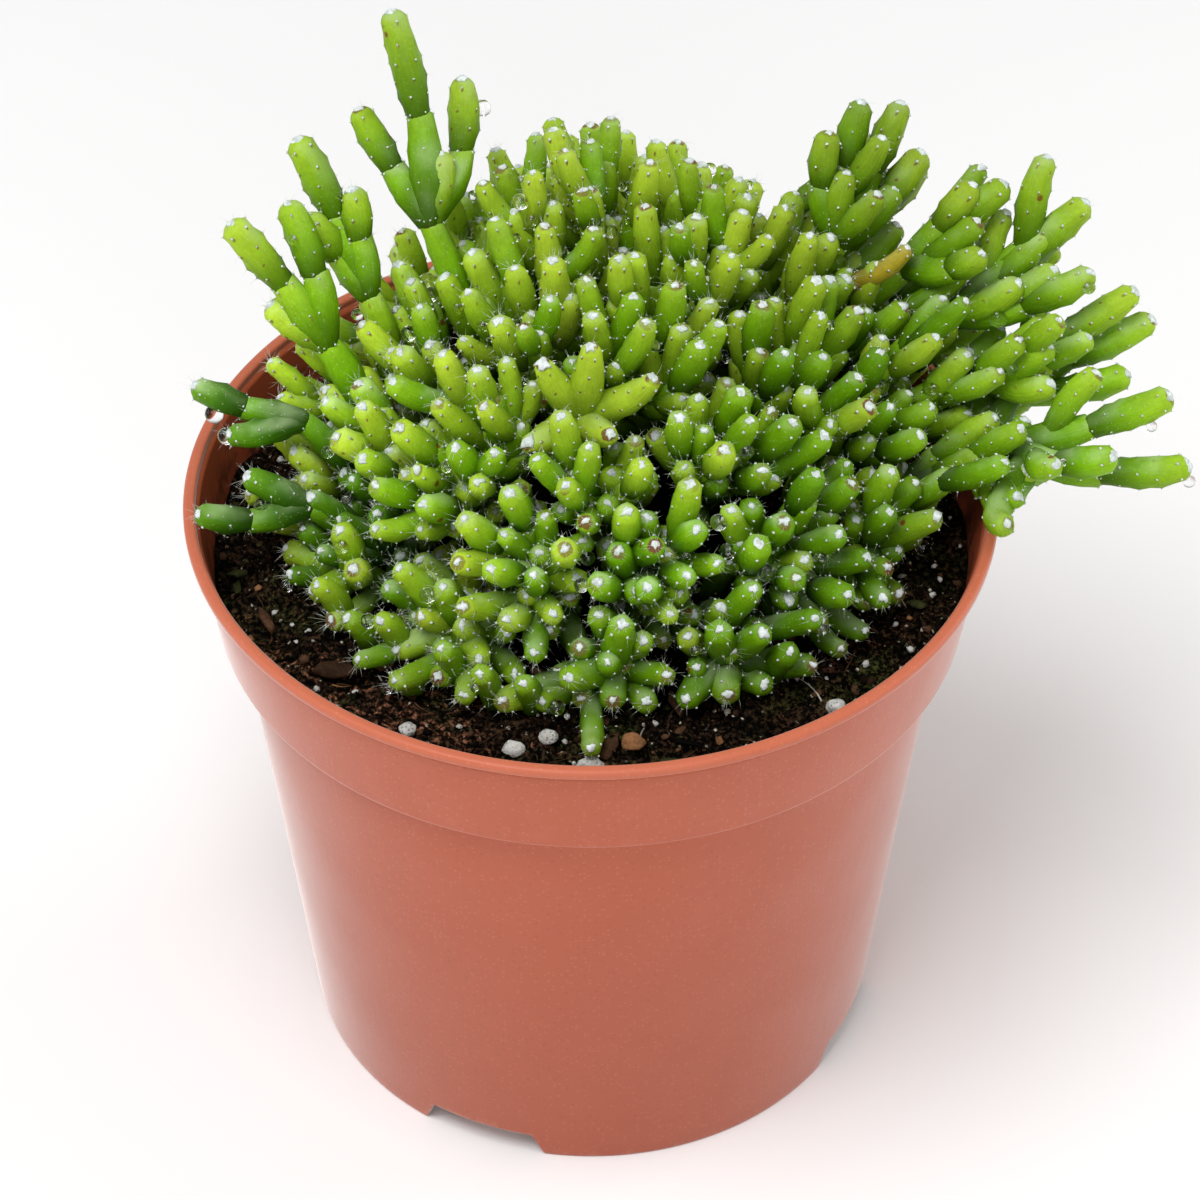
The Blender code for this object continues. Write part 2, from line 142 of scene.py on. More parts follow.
@dataclass
class Surface:
    """Points and faces, with the map and the values that they carry, before they go into a mesh."""

    points: Array
    quads: Array
    quad_uv: Array
    tris: Array
    tri_uv: Array
    values: dict[str, Array] = field(default_factory=dict)

    @staticmethod
    def of_rings(
        rings: Array,
        along: Array,
        poles: tuple[Array, Array] | None,
        values: dict[str, Array] | None = None,
    ) -> Surface:
        """Skin over rings of points: one quad between neighbours, turning round each ring.

        Args:
            rings: points, shape (rings, sides, 3). Going on by a side and then by a ring turns
                a right-handed screw, so the faces look outwards.
            along: map coordinate of each ring.
            poles: the end points that close the first and the last ring, or None where the
                last ring joins the first.
            values: for each name one number per ring point, shape (rings, sides).

        Returns:
            The closed surface.
        """
        count, sides = rings.shape[:2]
        spans = count if poles is None else count - 1
        i, j = np.meshgrid(np.arange(spans), np.arange(sides), indexing="ij")
        i, j = i.ravel(), j.ravel()
        up, on = (i + 1) % count, (j + 1) % sides
        quads = np.stack((i * sides + j, i * sides + on, up * sides + on, up * sides + j), axis=1)
        u0, u1 = j / sides, (j + 1) / sides
        v0, v1 = along[i], along[np.minimum(i + 1, count - 1)]
        quad_uv = np.stack([np.stack(c, axis=1) for c in ((u0, v0), (u1, v0), (u1, v1), (u0, v1))], axis=1)
        points = rings.reshape(-1, 3)
        tris, tri_uv = np.zeros((0, 3), int), np.zeros((0, 3, 2))
        carried = {name: np.asarray(v, float).reshape(-1) for name, v in (values or {}).items()}
        if poles is not None:
            side = np.arange(sides)
            after = (side + 1) % sides
            last, first_pole = (count - 1) * sides, count * sides
            start = np.stack((np.full(sides, first_pole), after, side), axis=1)
            end = np.stack((last + side, last + after, np.full(sides, first_pole + 1)), axis=1)
            tris = np.vstack((start, end))
            points = np.vstack((points, poles[0], poles[1]))
            a, b, middle = side / sides, (side + 1) / sides, (side + 0.5) / sides
            low, high = np.full(sides, along[0]), np.full(sides, along[-1])
            corners = ((middle, low), (b, low), (a, low)), ((a, high), (b, high), (middle, high))
            tri_uv = np.vstack([np.stack([np.stack(c, axis=1) for c in three], axis=1) for three in corners])
            for name, v in carried.items():
                carried[name] = np.concatenate((v, (v[:sides].mean(), v[-sides:].mean())))
        return Surface(points, quads, quad_uv, tris, tri_uv, carried)

    @staticmethod
    def join(parts: list[Surface]) -> Surface:
        """All the parts as one surface, which keep the same value names."""
        steps = np.concatenate(([0], np.cumsum([len(p.points) for p in parts])[:-1]))
        return Surface(
            np.vstack([p.points for p in parts]),
            np.vstack([p.quads + step for p, step in zip(parts, steps)]),
            np.vstack([p.quad_uv for p in parts]),
            np.vstack([p.tris + step for p, step in zip(parts, steps)]),
            np.vstack([p.tri_uv for p in parts]),
            {name: np.concatenate([p.values[name] for p in parts]) for name in parts[0].values},
        )

    def copies(self, places: Array, frames: Array, values: dict[str, Array] | None = None) -> Surface:
        """This surface repeated: point = place + frame x point, for all copies at once.

        Args:
            places: centre of each copy, shape (n, 3).
            frames: 3 x 3 matrix of each copy, whose columns are its scaled axes.
            values: one number per copy for each name.

        Returns:
            All the copies as one surface.
        """
        count, size = len(places), len(self.points)
        points = places[:, None] + np.einsum("nij,pj->npi", frames, self.points)
        steps = (np.arange(count) * size)[:, None, None]
        return Surface(
            points.reshape(-1, 3),
            (self.quads + steps).reshape(-1, 4),
            np.tile(self.quad_uv, (count, 1, 1)),
            (self.tris + steps).reshape(-1, 3),
            np.tile(self.tri_uv, (count, 1, 1)),
            {name: np.repeat(v, size) for name, v in (values or {}).items()},
        )


def ball(sides: int, rings: int) -> Surface:
    """Unit ball on a grid: x, y = sin(height angle) x (cos, sin)(turn), z = -cos(height angle)."""
    rise = np.arange(1, rings + 1) * math.pi / (rings + 1)
    points = turned(np.sin(rise)[:, None], -np.cos(rise)[:, None], np.arange(sides) * TURN / sides)
    return Surface.of_rings(points, rise / math.pi, (np.array((0, 0, -1.0)), np.array((0, 0, 1.0))))


def ripple(points: Array, size: float, seed: int, waves: int = 24) -> Array:
    """Smooth uneven height from about -1 to 1: the sum of sine waves with random directions.

    Args:
        points: where to read it, shape (..., 3) or (..., 2).
        size: typical width of a bump.
        seed: start of the random draws.
        waves: how many waves are added.

    Returns:
        Height at each point.
    """
    rng = np.random.default_rng(seed)
    heading = unit(rng.normal(size=(waves, points.shape[-1])))
    pull = heading * rng.uniform(0.6, 1.5, (waves, 1)) * math.pi / size
    phase = rng.uniform(0, TURN, waves)
    return np.sin(points @ pull.T + phase).sum(axis=-1) / math.sqrt(waves)


def frames_along(direction: Array, spin: Array, size: Array) -> Array:
    """Matrices whose third axis follows direction.

    Args:
        direction: unit vectors, shape (n, 3).
        spin: turn about the direction, in radians, shape (n,).
        size: scales along the three axes, shape (n, 3).

    Returns:
        Matrices, shape (n, 3, 3).
    """
    side, up = across(direction)
    c, s = np.cos(spin)[:, None], np.sin(spin)[:, None]
    axes = np.stack((side * c + up * s, up * c - side * s, direction), axis=-1)
    return axes * size[:, None, :]


def hairs(
    roots: Array, direction: Array, sag: Array, length: Array, radius: float, steps: int = 3, sides: int = 3
) -> Surface:
    """Fine tapering bristles, all at once: point(t) = root + direction t L + sag t^2 L.

    Args:
        roots: where they stand, shape (n, 3).
        direction: unit vectors in which they leave.
        sag: how they bend away, as a share of the length, shape (n, 3).
        length: length of each.
        radius: radius at the foot; it falls to a point at the tip.
        steps: rings along each.
        sides: sides of each.

    Returns:
        The bristles as one surface of closed spikes.
    """
    t = np.arange(steps) / steps
    spine = (
        roots[:, None]
        + direction[:, None] * (t[:, None] * length[:, None, None])
        + sag[:, None] * (t**2)[:, None] * length[:, None, None]
    )
    side, up = across(direction)
    turn = np.arange(sides) * TURN / sides
    spoke = side[:, None] * np.cos(turn)[:, None] + up[:, None] * np.sin(turn)[:, None]
    rings = spine[:, :, None] + spoke[:, None] * (radius * (1 - 0.8 * t))[:, None, None]
    tips = roots + (direction + sag) * length[:, None]
    count, size = len(roots), steps * sides + 1
    points = np.concatenate((rings.reshape(count, -1, 3), tips[:, None]), axis=1).reshape(-1, 3)
    i, j = np.meshgrid(np.arange(steps - 1), np.arange(sides), indexing="ij")
    i, j = i.ravel(), j.ravel()
    on = (j + 1) % sides
    quads = np.stack((i * sides + j, i * sides + on, (i + 1) * sides + on, (i + 1) * sides + j), axis=1)
    last = (steps - 1) * sides
    edge = np.arange(sides)
    cone = np.stack((last + edge, last + (edge + 1) % sides, np.full(sides, size - 1)), axis=1)
    foot = np.stack((np.zeros(sides - 2, int), edge[2:], edge[1:-1]), axis=1)
    tris = np.vstack((cone, foot))
    shift = (np.arange(count) * size)[:, None, None]
    quads, tris = (quads + shift).reshape(-1, 4), (tris + shift).reshape(-1, 3)
    return Surface(points, quads, np.zeros((len(quads), 4, 2)), tris, np.zeros((len(tris), 3, 2)))


# ---------------------------------------------------------------- putting pieces in the scene


@dataclass
class Workshop:
    """Puts finished surfaces into the scene at the pot's place in the frame."""

    axis: Array
    triangles: int = 0

    def place(
        self,
        name: str,
        surface: Surface,
        material: bpy.types.Material,
        slot: Slot,
        nodes: tuple[str, ...] = (),
    ) -> bpy.types.Object:
        """Makes one piece: its mesh, finish, body and the solids that it stands for.

        Args:
            name: the piece's name.
            surface: its shape about the pot's axis.
            material: its finish.
            slot: the record's material slot; not used.
            nodes: CAD nodes that it replaces.

        Returns:
            The new object.
        """
        mesh = bpy.data.meshes.new(name)
        points = surface.points + self.axis
        mesh.vertices.add(len(points))
        mesh.vertices.foreach_set("co", points.astype(np.float32).ravel())
        corners = np.concatenate((surface.quads.ravel(), surface.tris.ravel()))
        mesh.loops.add(len(corners))
        mesh.loops.foreach_set("vertex_index", corners.astype(np.int32))
        squares, wedges = len(surface.quads), len(surface.tris)
        starts = np.concatenate((np.arange(squares) * 4, squares * 4 + np.arange(wedges) * 3))
        mesh.polygons.add(len(starts))
        mesh.polygons.foreach_set("loop_start", starts.astype(np.int32))
        chart = mesh.uv_layers.new(name="UVMap")
        chart.data.foreach_set(
            "uv", np.concatenate((surface.quad_uv.ravel(), surface.tri_uv.ravel())).astype(np.float32)
        )
        for value_name, value in surface.values.items():
            layer = mesh.attributes.new(value_name, "FLOAT", "POINT")
            layer.data.foreach_set("value", value.astype(np.float32))
        mesh.update(calc_edges=True)
        mesh.shade_smooth()
        mesh.materials.append(material)
        piece = bpy.data.objects.new(name, mesh)
        bpy.context.scene.collection.objects.link(piece)
        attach(piece, "root")
        if nodes:
            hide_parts(*nodes)
        count = squares * 2 + wedges
        self.triangles += count
        LOG.info("%s: %d triangles", name, count)
        return piece


# ---------------------------------------------------------------- finishes

Value = Any
BLACK, WHITE = (0.0, 0.0, 0.0, 1.0), (1.0, 1.0, 1.0, 1.0)


class Graph:
    """Nodes of a material or a group, added by short calls that give back an output socket."""

    def __init__(self, tree: bpy.types.NodeTree) -> None:
        """Starts on a node tree."""
        self.tree = tree

    def feed(self, node: bpy.types.Node, inputs: dict[Any, Value]) -> None:
        """Links or sets a node's inputs, by name or number. A colour may leave out its alpha."""
        for key, value in inputs.items():
            socket = node.inputs[key]
            if isinstance(value, bpy.types.NodeSocket):
                self.tree.links.new(value, socket)
            elif socket.type == "RGBA" and len(value) == 3:
                socket.default_value = (*value, 1.0)
            else:
                socket.default_value = value

    def node(self, kind: str, inputs: dict[Any, Value] | None = None, **settings: Value) -> bpy.types.Node:
        """Adds a shader node.

        Args:
            kind: Blender's node name, without ShaderNode.
            inputs: values or output sockets for its inputs, by name or number.
            settings: the node's own properties.

        Returns:
            The node.
        """
        made = self.tree.nodes.new(f"ShaderNode{kind}")
        for key, value in settings.items():
            setattr(made, key, value)
        self.feed(made, inputs or {})
        return made

    def noise(self, vector: Value, scale: Value, detail: float = 4.0, roughness: float = 0.55) -> Value:
        """Cloudy noise from 0 to 1."""
        inputs = {"Vector": vector, "Scale": scale, "Detail": detail, "Roughness": roughness}
        return self.node("TexNoise", inputs).outputs[0]

    def math(self, operation: str, a: Value, b: Value = 0.0, clamp: bool = False) -> Value:
        """One step on two numbers."""
        return self.node("Math", {0: a, 1: b}, operation=operation, use_clamp=clamp).outputs[0]

    def times(self, first: Value, *others: Value) -> Value:
        """The product of numbers."""
        for other in others:
            first = self.math("MULTIPLY", first, other)
        return first

    def plus(self, a: Value, b: Value) -> Value:
        """The sum of two numbers."""
        return self.math("ADD", a, b)

    def less(self, a: Value, b: Value) -> Value:
        """The difference of two numbers."""
        return self.math("SUBTRACT", a, b)

    def span(self, value: Value, low: Value, high: Value, bottom: Value = 0.0, top: Value = 1.0) -> Value:
        """Value carried smoothly from low..high to bottom..top, and held at the ends."""
        inputs = {"Value": value, "From Min": low, "From Max": high, "To Min": bottom, "To Max": top}
        return self.node("MapRange", inputs, interpolation_type="SMOOTHSTEP").outputs[0]

    def blend(self, share: Value, a: Value, b: Value, how: str = "MIX") -> Value:
        """Colour a with a share of colour b."""
        inputs = {0: share, 6: a, 7: b}
        return self.node("Mix", inputs, data_type="RGBA", blend_type=how, clamp_factor=True).outputs[2]

    def dim(self, colour: Value, tone: Value) -> Value:
        """Colour made darker or lighter by a number."""
        return self.blend(1.0, colour, self.vector(tone, tone, tone), "MULTIPLY")

    def bump(self, height: Value, depth: float, strength: float) -> Value:
        """Normal tilted by a height; depth is what height 1 stands for, in metres."""
        return self.node("Bump", {"Height": height, "Distance": depth, "Strength": strength}).outputs[0]

    def carried(self, name: str) -> Value:
        """A value that the mesh carries."""
        return self.node("Attribute", attribute_name=name).outputs["Fac"]

    def place(self, kind: str = "Object") -> Value:
        """Object coordinates, or the mesh's own map with kind UV."""
        return self.node("TexCoord").outputs[kind]

    def parts(self, vector: Value) -> tuple[Value, Value, Value]:
        """The x, y and z of a vector."""
        x, y, z = self.node("SeparateXYZ", {0: vector}).outputs
        return x, y, z

    def vector(self, x: Value, y: Value, z: Value) -> Value:
        """A vector from its three numbers."""
        return self.node("CombineXYZ", {0: x, 1: y, 2: z}).outputs[0]

    def drawn(self, vector: Value, *stretch: float) -> Value:
        """A vector whose three numbers are each multiplied by their own stretch."""
        return self.vector(*(self.times(part, scale) for part, scale in zip(self.parts(vector), stretch)))


class Effect(Enum):
    """Effects that several finishes share, each one node group."""

    MOTTLE = "mottle"
    SPECKS = "specks"
    STREAKS = "streaks"
    GRIME = "grime"


SOCKETS: dict[Effect, tuple[dict[str, Value], dict[str, str]]] = {
    Effect.MOTTLE: (
        {"Vector": None, "Scale": 100.0, "Dark": BLACK, "Light": WHITE, "Contrast": 0.5},
        {"Colour": "Color", "Value": "Float"},
    ),
    Effect.SPECKS: ({"Vector": None, "Scale": 500.0, "Size": 0.3, "Share": 0.5}, {"Mask": "Float"}),
    Effect.STREAKS: ({"Map": None, "Across": 20.0, "Along": 0.4, "Seed": 0.0}, {"Value": "Float"}),
    Effect.GRIME: ({"Vector": None, "Level": 0.0, "Reach": 0.01, "Scale": 120.0}, {"Mask": "Float"}),
}


class EffectShelf:
    """Builds each shared effect once and hands it out."""

    def __init__(self) -> None:
        """Starts with an empty shelf."""
        self.made: dict[Effect, bpy.types.NodeTree] = {}

    def mottle(self, g: Graph, i: Value) -> dict[str, Value]:
        """Two sizes of noise added, and their sum spread from dark to light."""
        broad = g.noise(i["Vector"], i["Scale"], 3.0)
        fine = g.noise(i["Vector"], g.times(i["Scale"], 5.3), 3.0)
        both = g.plus(g.times(broad, 0.65), g.times(fine, 0.35))
        half = g.times(g.less(1.0, i["Contrast"]), 0.35)
        value = g.span(both, g.less(0.5, half), g.plus(0.5, half))
        return {"Colour": g.blend(value, i["Dark"], i["Light"]), "Value": value}

    def specks(self, g: Graph, i: Value) -> dict[str, Value]:
        """A soft dot in the middle of a share of the cells."""
        cell = g.node("TexVoronoi", {"Vector": i["Vector"], "Scale": i["Scale"]}, feature="F1").outputs
        dot = g.span(cell["Distance"], i["Size"], g.times(i["Size"], 0.55))
        kept = g.math("LESS_THAN", g.parts(cell["Color"])[0], i["Share"])
        return {"Mask": g.times(dot, kept)}

    def streaks(self, g: Graph, i: Value) -> dict[str, Value]:
        """Noise read on a tube: u goes round it, so the streaks close on themselves."""
        u, v, _ = g.parts(i["Map"])
        turn, reach = g.times(u, TURN), g.times(i["Across"], 1 / TURN)
        vector = g.vector(
            g.times(g.math("COSINE", turn), reach),
            g.times(g.math("SINE", turn), reach),
            g.plus(g.times(v, i["Along"]), g.times(i["Seed"], 57.0)),
        )
        return {"Value": g.noise(vector, 1.0, 4.0, 0.6)}

    def grime(self, g: Graph, i: Value) -> dict[str, Value]:
        """Patches that fade out upwards from a level."""
        patch = g.noise(i["Vector"], i["Scale"], 5.0, 0.65)
        near = g.span(g.parts(i["Vector"])[2], i["Level"], g.plus(i["Level"], i["Reach"]), 1.0, 0.0)
        return {"Mask": g.math("MULTIPLY", near, g.span(patch, 0.35, 0.7), clamp=True)}

    def make(self, effect: Effect) -> bpy.types.NodeTree:
        """Builds one effect's group: its named sockets, and the nodes between them."""
        tree = bpy.data.node_groups.new(effect.value, "ShaderNodeTree")
        inputs, outputs = SOCKETS[effect]
        for label, value in inputs.items():
            kind = "Vector" if value is None else "Float" if isinstance(value, float) else "Color"
            socket = tree.interface.new_socket(label, in_out="INPUT", socket_type=f"NodeSocket{kind}")
            if value is not None:
                socket.default_value = value
        for label, kind in outputs.items():
            tree.interface.new_socket(label, in_out="OUTPUT", socket_type=f"NodeSocket{kind}")
        recipes = {
            Effect.MOTTLE: self.mottle,
            Effect.SPECKS: self.specks,
            Effect.STREAKS: self.streaks,
            Effect.GRIME: self.grime,
        }
        graph, given = Graph(tree), tree.nodes.new("NodeGroupInput").outputs
        graph.feed(tree.nodes.new("NodeGroupOutput"), recipes[effect](graph, given))
        return tree

    def use(self, graph: Graph, effect: Effect, **inputs: Value) -> bpy.types.bpy_prop_collection:
        """Places an effect in a material with its own values.

        Args:
            graph: the material's nodes.
            effect: which effect.
            inputs: its values or sockets.

        Returns:
            The group node's outputs.
        """
        if effect not in self.made:
            self.made[effect] = self.make(effect)
        node = graph.tree.nodes.new("ShaderNodeGroup")
        node.node_tree = self.made[effect]
        graph.feed(node, inputs)
        return node.outputs


SHELF = EffectShelf()


@dataclass(frozen=True)
class Finish:
    """A material with one Principled shader. Each finish gives its name, constants and ends."""

    name: ClassVar[str]
    constants: ClassVar[dict[str, Value]]

    def ends(self, g: Graph) -> dict[str, Value]:
        """The sockets that feed the shader, by the names of its inputs: none on a plain finish."""
        return {}

    def build(self) -> bpy.types.Material:
        """Makes the material, with the constants set on the shader's own sockets."""
        material = bpy.data.materials.new(self.name)
        material.use_nodes = True
        graph, shader = Graph(material.node_tree), material.node_tree.nodes["Principled BSDF"]
        graph.feed(shader, self.constants)
        graph.feed(shader, self.ends(graph))
        return material


@dataclass(frozen=True)
class StemFinish(Finish):
    """Living stem: green skin with fine lengthwise grain, a pale bloom that is partly a painted highlight on
    upward faces, spots and a brown ring at the tip.
    """

    name = "stem_skin"
    constants = {"Subsurface Weight": 0.10, "Subsurface Scale": 0.0014, "Specular IOR Level": 0.11}
    deep: Colour = (0.034, 0.118, 0.002)
    green: Colour = (0.150, 0.345, 0.003)
    yellow: Colour = (0.400, 0.555, 0.030)
    bloom: Colour = (0.48, 0.63, 0.32)
    ring: Colour = (0.16, 0.055, 0.030)
    spot: Colour = (0.16, 0.03, 0.008)
    amber: Colour = (0.55, 0.36, 0.03)
    lanes: float = 5.0

    def skin(self, g: Graph, spot: Value, streaks: Value) -> Value:
        """Green from deep to yellow by age, with mottle, grain, pale bloom and painted highlight where it
        faces up, and dots.
        """
        young = g.plus(g.times(g.carried("along"), 0.58), g.times(g.carried("tint"), 0.90))
        base = g.blend(g.span(young, 0.05, 0.75), self.deep, self.green)
        base = g.blend(g.span(young, 0.55, 1.45), base, self.yellow)
        base = g.blend(g.carried("withered"), base, self.amber)
        mottle = SHELF.use(g, Effect.MOTTLE, Vector=spot, Scale=330.0, Contrast=0.1)["Value"]
        shade, grain = g.span(mottle, 0.0, 1.0, 0.84, 1.12), g.span(streaks, 0.3, 0.7, 0.955, 1.045)
        base = g.dim(base, g.times(shade, grain))
        # Partly painted highlight: pale bloom in cloudy patches, laid only on faces that look up, where the
        # light falls.
        upward = g.parts(g.node("NewGeometry").outputs["Normal"])[2]
        cloud = g.span(g.noise(spot, 150.0, 2.0), 0.40, 0.70, 0.02, 0.50)
        base = g.blend(g.times(cloud, g.span(upward, 0.30, 1.0)), base, self.bloom)
        dots = SHELF.use(g, Effect.SPECKS, Vector=spot, Scale=1900.0, Size=0.28, Share=0.35)["Mask"]
        return g.blend(g.times(dots, 0.26), base, self.bloom)

    def areole_mark(self, g: Graph) -> Value:
        """Small round mark beside each areole, where the row and the lane are near a set share."""
        u, v, _ = g.parts(g.place("UV"))
        row = g.math("FRACT", g.plus(v, 0.62))
        lane = g.math("FRACT", g.plus(g.less(g.times(u, self.lanes), g.times(v, 1 / 3)), 0.44))
        far = g.plus(*(g.math("POWER", g.less(place, 0.5), 2.0) for place in (row, lane)))
        return g.times(g.span(far, 0.012, 0.003), g.span(g.carried("tint"), 0.3, 0.8, 0.1, 0.75))

    def tip_band(self, g: Graph, spot: Value) -> Value:
        """Ragged, patchy band round the tip."""
        stray = g.times(g.less(g.noise(spot, 620.0, 2.0), 0.5), 0.42)
        band = g.span(g.plus(g.carried("cap"), stray), 0.56, 0.66)
        patchy = g.span(g.noise(spot, 260.0, 1.0), 0.40, 0.56, 0.15, 1.0)
        return g.times(band, g.carried("ring"), patchy)

    def ends(self, g: Graph) -> dict[str, Value]:
        """Skin, marks, painted shade by place in the plant and towards the foot, freckles, tip band and a
        dark crease at the joint.
        """
        spot, along = g.place(), g.carried("along")
        streaks = SHELF.use(
            g, Effect.STREAKS, Map=g.place("UV"), Across=46.0, Along=0.9, Seed=g.carried("tint")
        )["Value"]
        base = g.blend(self.areole_mark(g), self.skin(g, spot, streaks), self.ring)
        # Painted shade: the carried shade by place in the plant, and darker towards each link's foot.
        base = g.dim(base, g.times(g.carried("shade"), g.span(along, 0.05, 0.80, 0.50, 1.12)))
        freckle = SHELF.use(g, Effect.SPECKS, Vector=spot, Scale=135.0, Size=0.085, Share=0.3)["Mask"]
        base = g.blend(g.times(freckle, 0.85), base, self.spot)
        base = g.blend(self.tip_band(g, spot), base, self.ring)
        base = g.blend(g.span(along, 0.06, 0.015, 0.0, 0.5), base, self.ring)
        pores = g.plus(g.times(g.noise(spot, 2600.0, 2.0), 0.35), streaks)
        return {
            "Base Color": base,
            "Roughness": g.span(g.noise(spot, 420.0, 1.0), 0.25, 0.75, 0.34, 0.52),
            "Normal": g.bump(pores, 0.00022, 0.55),
        }


@dataclass(frozen=True)
class WoolFinish(Finish):
    """White wool of the areoles and tips."""

    name = "white_wool"
    constants = {"Roughness": 0.9, "Specular IOR Level": 0.2}
    white: Colour = (0.84, 0.90, 0.90)
    grey: Colour = (0.44, 0.50, 0.46)

    def ends(self, g: Graph) -> dict[str, Value]:
        """Grey and white tufts, with painted shade deep in the plant."""
        spot = g.place()
        tufts = SHELF.use(
            g, Effect.MOTTLE, Vector=spot, Scale=1300.0, Dark=self.grey, Light=self.white, Contrast=0.45
        )
        # Painted shade: wool deep in the plant is darker.
        deep_shade = g.span(g.carried("depth"), 0.55, 0.93, 0.28, 1.0)
        return {
            "Base Color": g.dim(tufts["Colour"], deep_shade),
            "Normal": g.bump(g.noise(spot, 5000.0, 2.0), 0.0002, 0.8),
        }


@dataclass(frozen=True)
class BristleFinish(Finish):
    """Pale glassy bristles."""

    name = "pale_bristle"
    constants = {}
    root: Colour = (0.62, 0.68, 0.50)
    tip: Colour = (0.88, 0.92, 0.92)

    def ends(self, g: Graph) -> dict[str, Value]:
        """Two pale tones, the lighter one rougher."""
        tones = SHELF.use(
            g, Effect.MOTTLE, Vector=g.place(), Scale=500.0, Dark=self.root, Light=self.tip, Contrast=0.3
        )
        return {"Base Color": tones["Colour"], "Roughness": g.span(tones["Value"], 0.0, 1.0, 0.35, 0.55)}


@dataclass(frozen=True)
class WaterFinish(Finish):
    """Clear water."""

    name = "clear_water"
    constants = {"Transmission Weight": 1.0, "IOR": 1.333, "Base Color": WHITE}

    def ends(self, g: Graph) -> dict[str, Value]:
        """Nearly smooth."""
        return {"Roughness": g.span(g.noise(g.place(), 300.0), 0.4, 0.9, 0.0, 0.03)}


@dataclass(frozen=True)
class PlasticFinish(Finish):
    """Terracotta-coloured moulded plastic with a very fine fleck, stained inside near the mix."""

    name = "terracotta_plastic_skin"
    body: Colour = (0.420, 0.087, 0.037)
    light: Colour = (0.458, 0.101, 0.045)
    # Colour of the pale flecks, and of the painted highlight on the lip.
    fleck: Colour = (0.60, 0.19, 0.11)
    dark_fleck: Colour = (0.33, 0.060, 0.030)
    # Painted shade: the inside wall is darker than the body.
    inner: Colour = (0.36, 0.070, 0.028)
    soil: Colour = (0.030, 0.016, 0.009)
    scuff: Colour = (0.66, 0.30, 0.21)
    sheen: float = 0.75
    stain_level: float = 88.5 * MM
    stain_reach: float = 7.0 * MM

    @property
    def constants(self) -> dict[str, Value]:
        """The shader's own values."""
        return {"Specular IOR Level": 0.28, "Sheen Weight": self.sheen, "Sheen Roughness": 0.30}

    def ends(self, g: Graph) -> dict[str, Value]:
        """Body colour with flecks, a paler lip as a painted highlight, painted shade and a stain inside,
        scuffed feet, and painted shade that leaves the top paler than the foot.
        """
        spot = g.place()
        inside, lip, foot = g.carried("inside"), g.carried("lip"), g.carried("foot")
        broad = SHELF.use(
            g, Effect.MOTTLE, Vector=spot, Scale=26.0, Dark=self.body, Light=self.light, Contrast=0.0
        )
        pale = SHELF.use(g, Effect.SPECKS, Vector=spot, Scale=1500.0, Size=0.42, Share=0.30)["Mask"]
        dark = SHELF.use(g, Effect.SPECKS, Vector=spot, Scale=1150.0, Size=0.40, Share=0.22)["Mask"]
        grime = SHELF.use(
            g, Effect.GRIME, Vector=spot, Level=self.stain_level, Reach=self.stain_reach, Scale=260.0
        )
        stain = g.times(grime["Mask"], inside)
        worn = g.times(g.span(g.noise(spot, 210.0, 5.0, 0.7), 0.50, 0.72), foot)
        base = broad["Colour"]
        # The lip gets a painted highlight and the inside painted shade; the stain, flecks and scuffs are the
        # pot's own marks.
        for mask, share, colour in (
            (pale, 0.30, self.fleck), (dark, 0.30, self.dark_fleck), (lip, 0.35, self.fleck),
            (inside, 0.6, self.inner), (stain, 0.85, self.soil), (worn, 0.5, self.scuff),
        ):
            base = g.blend(g.times(mask, share), base, colour)
        # Painted shade: darker towards the foot and a little paler at the top.
        base = g.dim(base, g.span(g.parts(spot)[2], 0.010, 0.100, 0.86, 1.05))
        drag = g.noise(g.drawn(spot, 900.0, 900.0, 60.0), 1.0, 3.0)
        grain = g.noise(spot, 2400.0, 3.0, 0.6)
        height = g.plus(g.times(grain, 0.8), g.times(drag, 0.5))
        rough = g.span(g.noise(spot, 60.0, 1.0), 0.25, 0.75, 0.36, 0.46)
        return {
            "Base Color": base,
            "Roughness": g.plus(rough, g.times(stain, 0.3)),
            "Normal": g.bump(height, 0.00006, 0.5),
        }


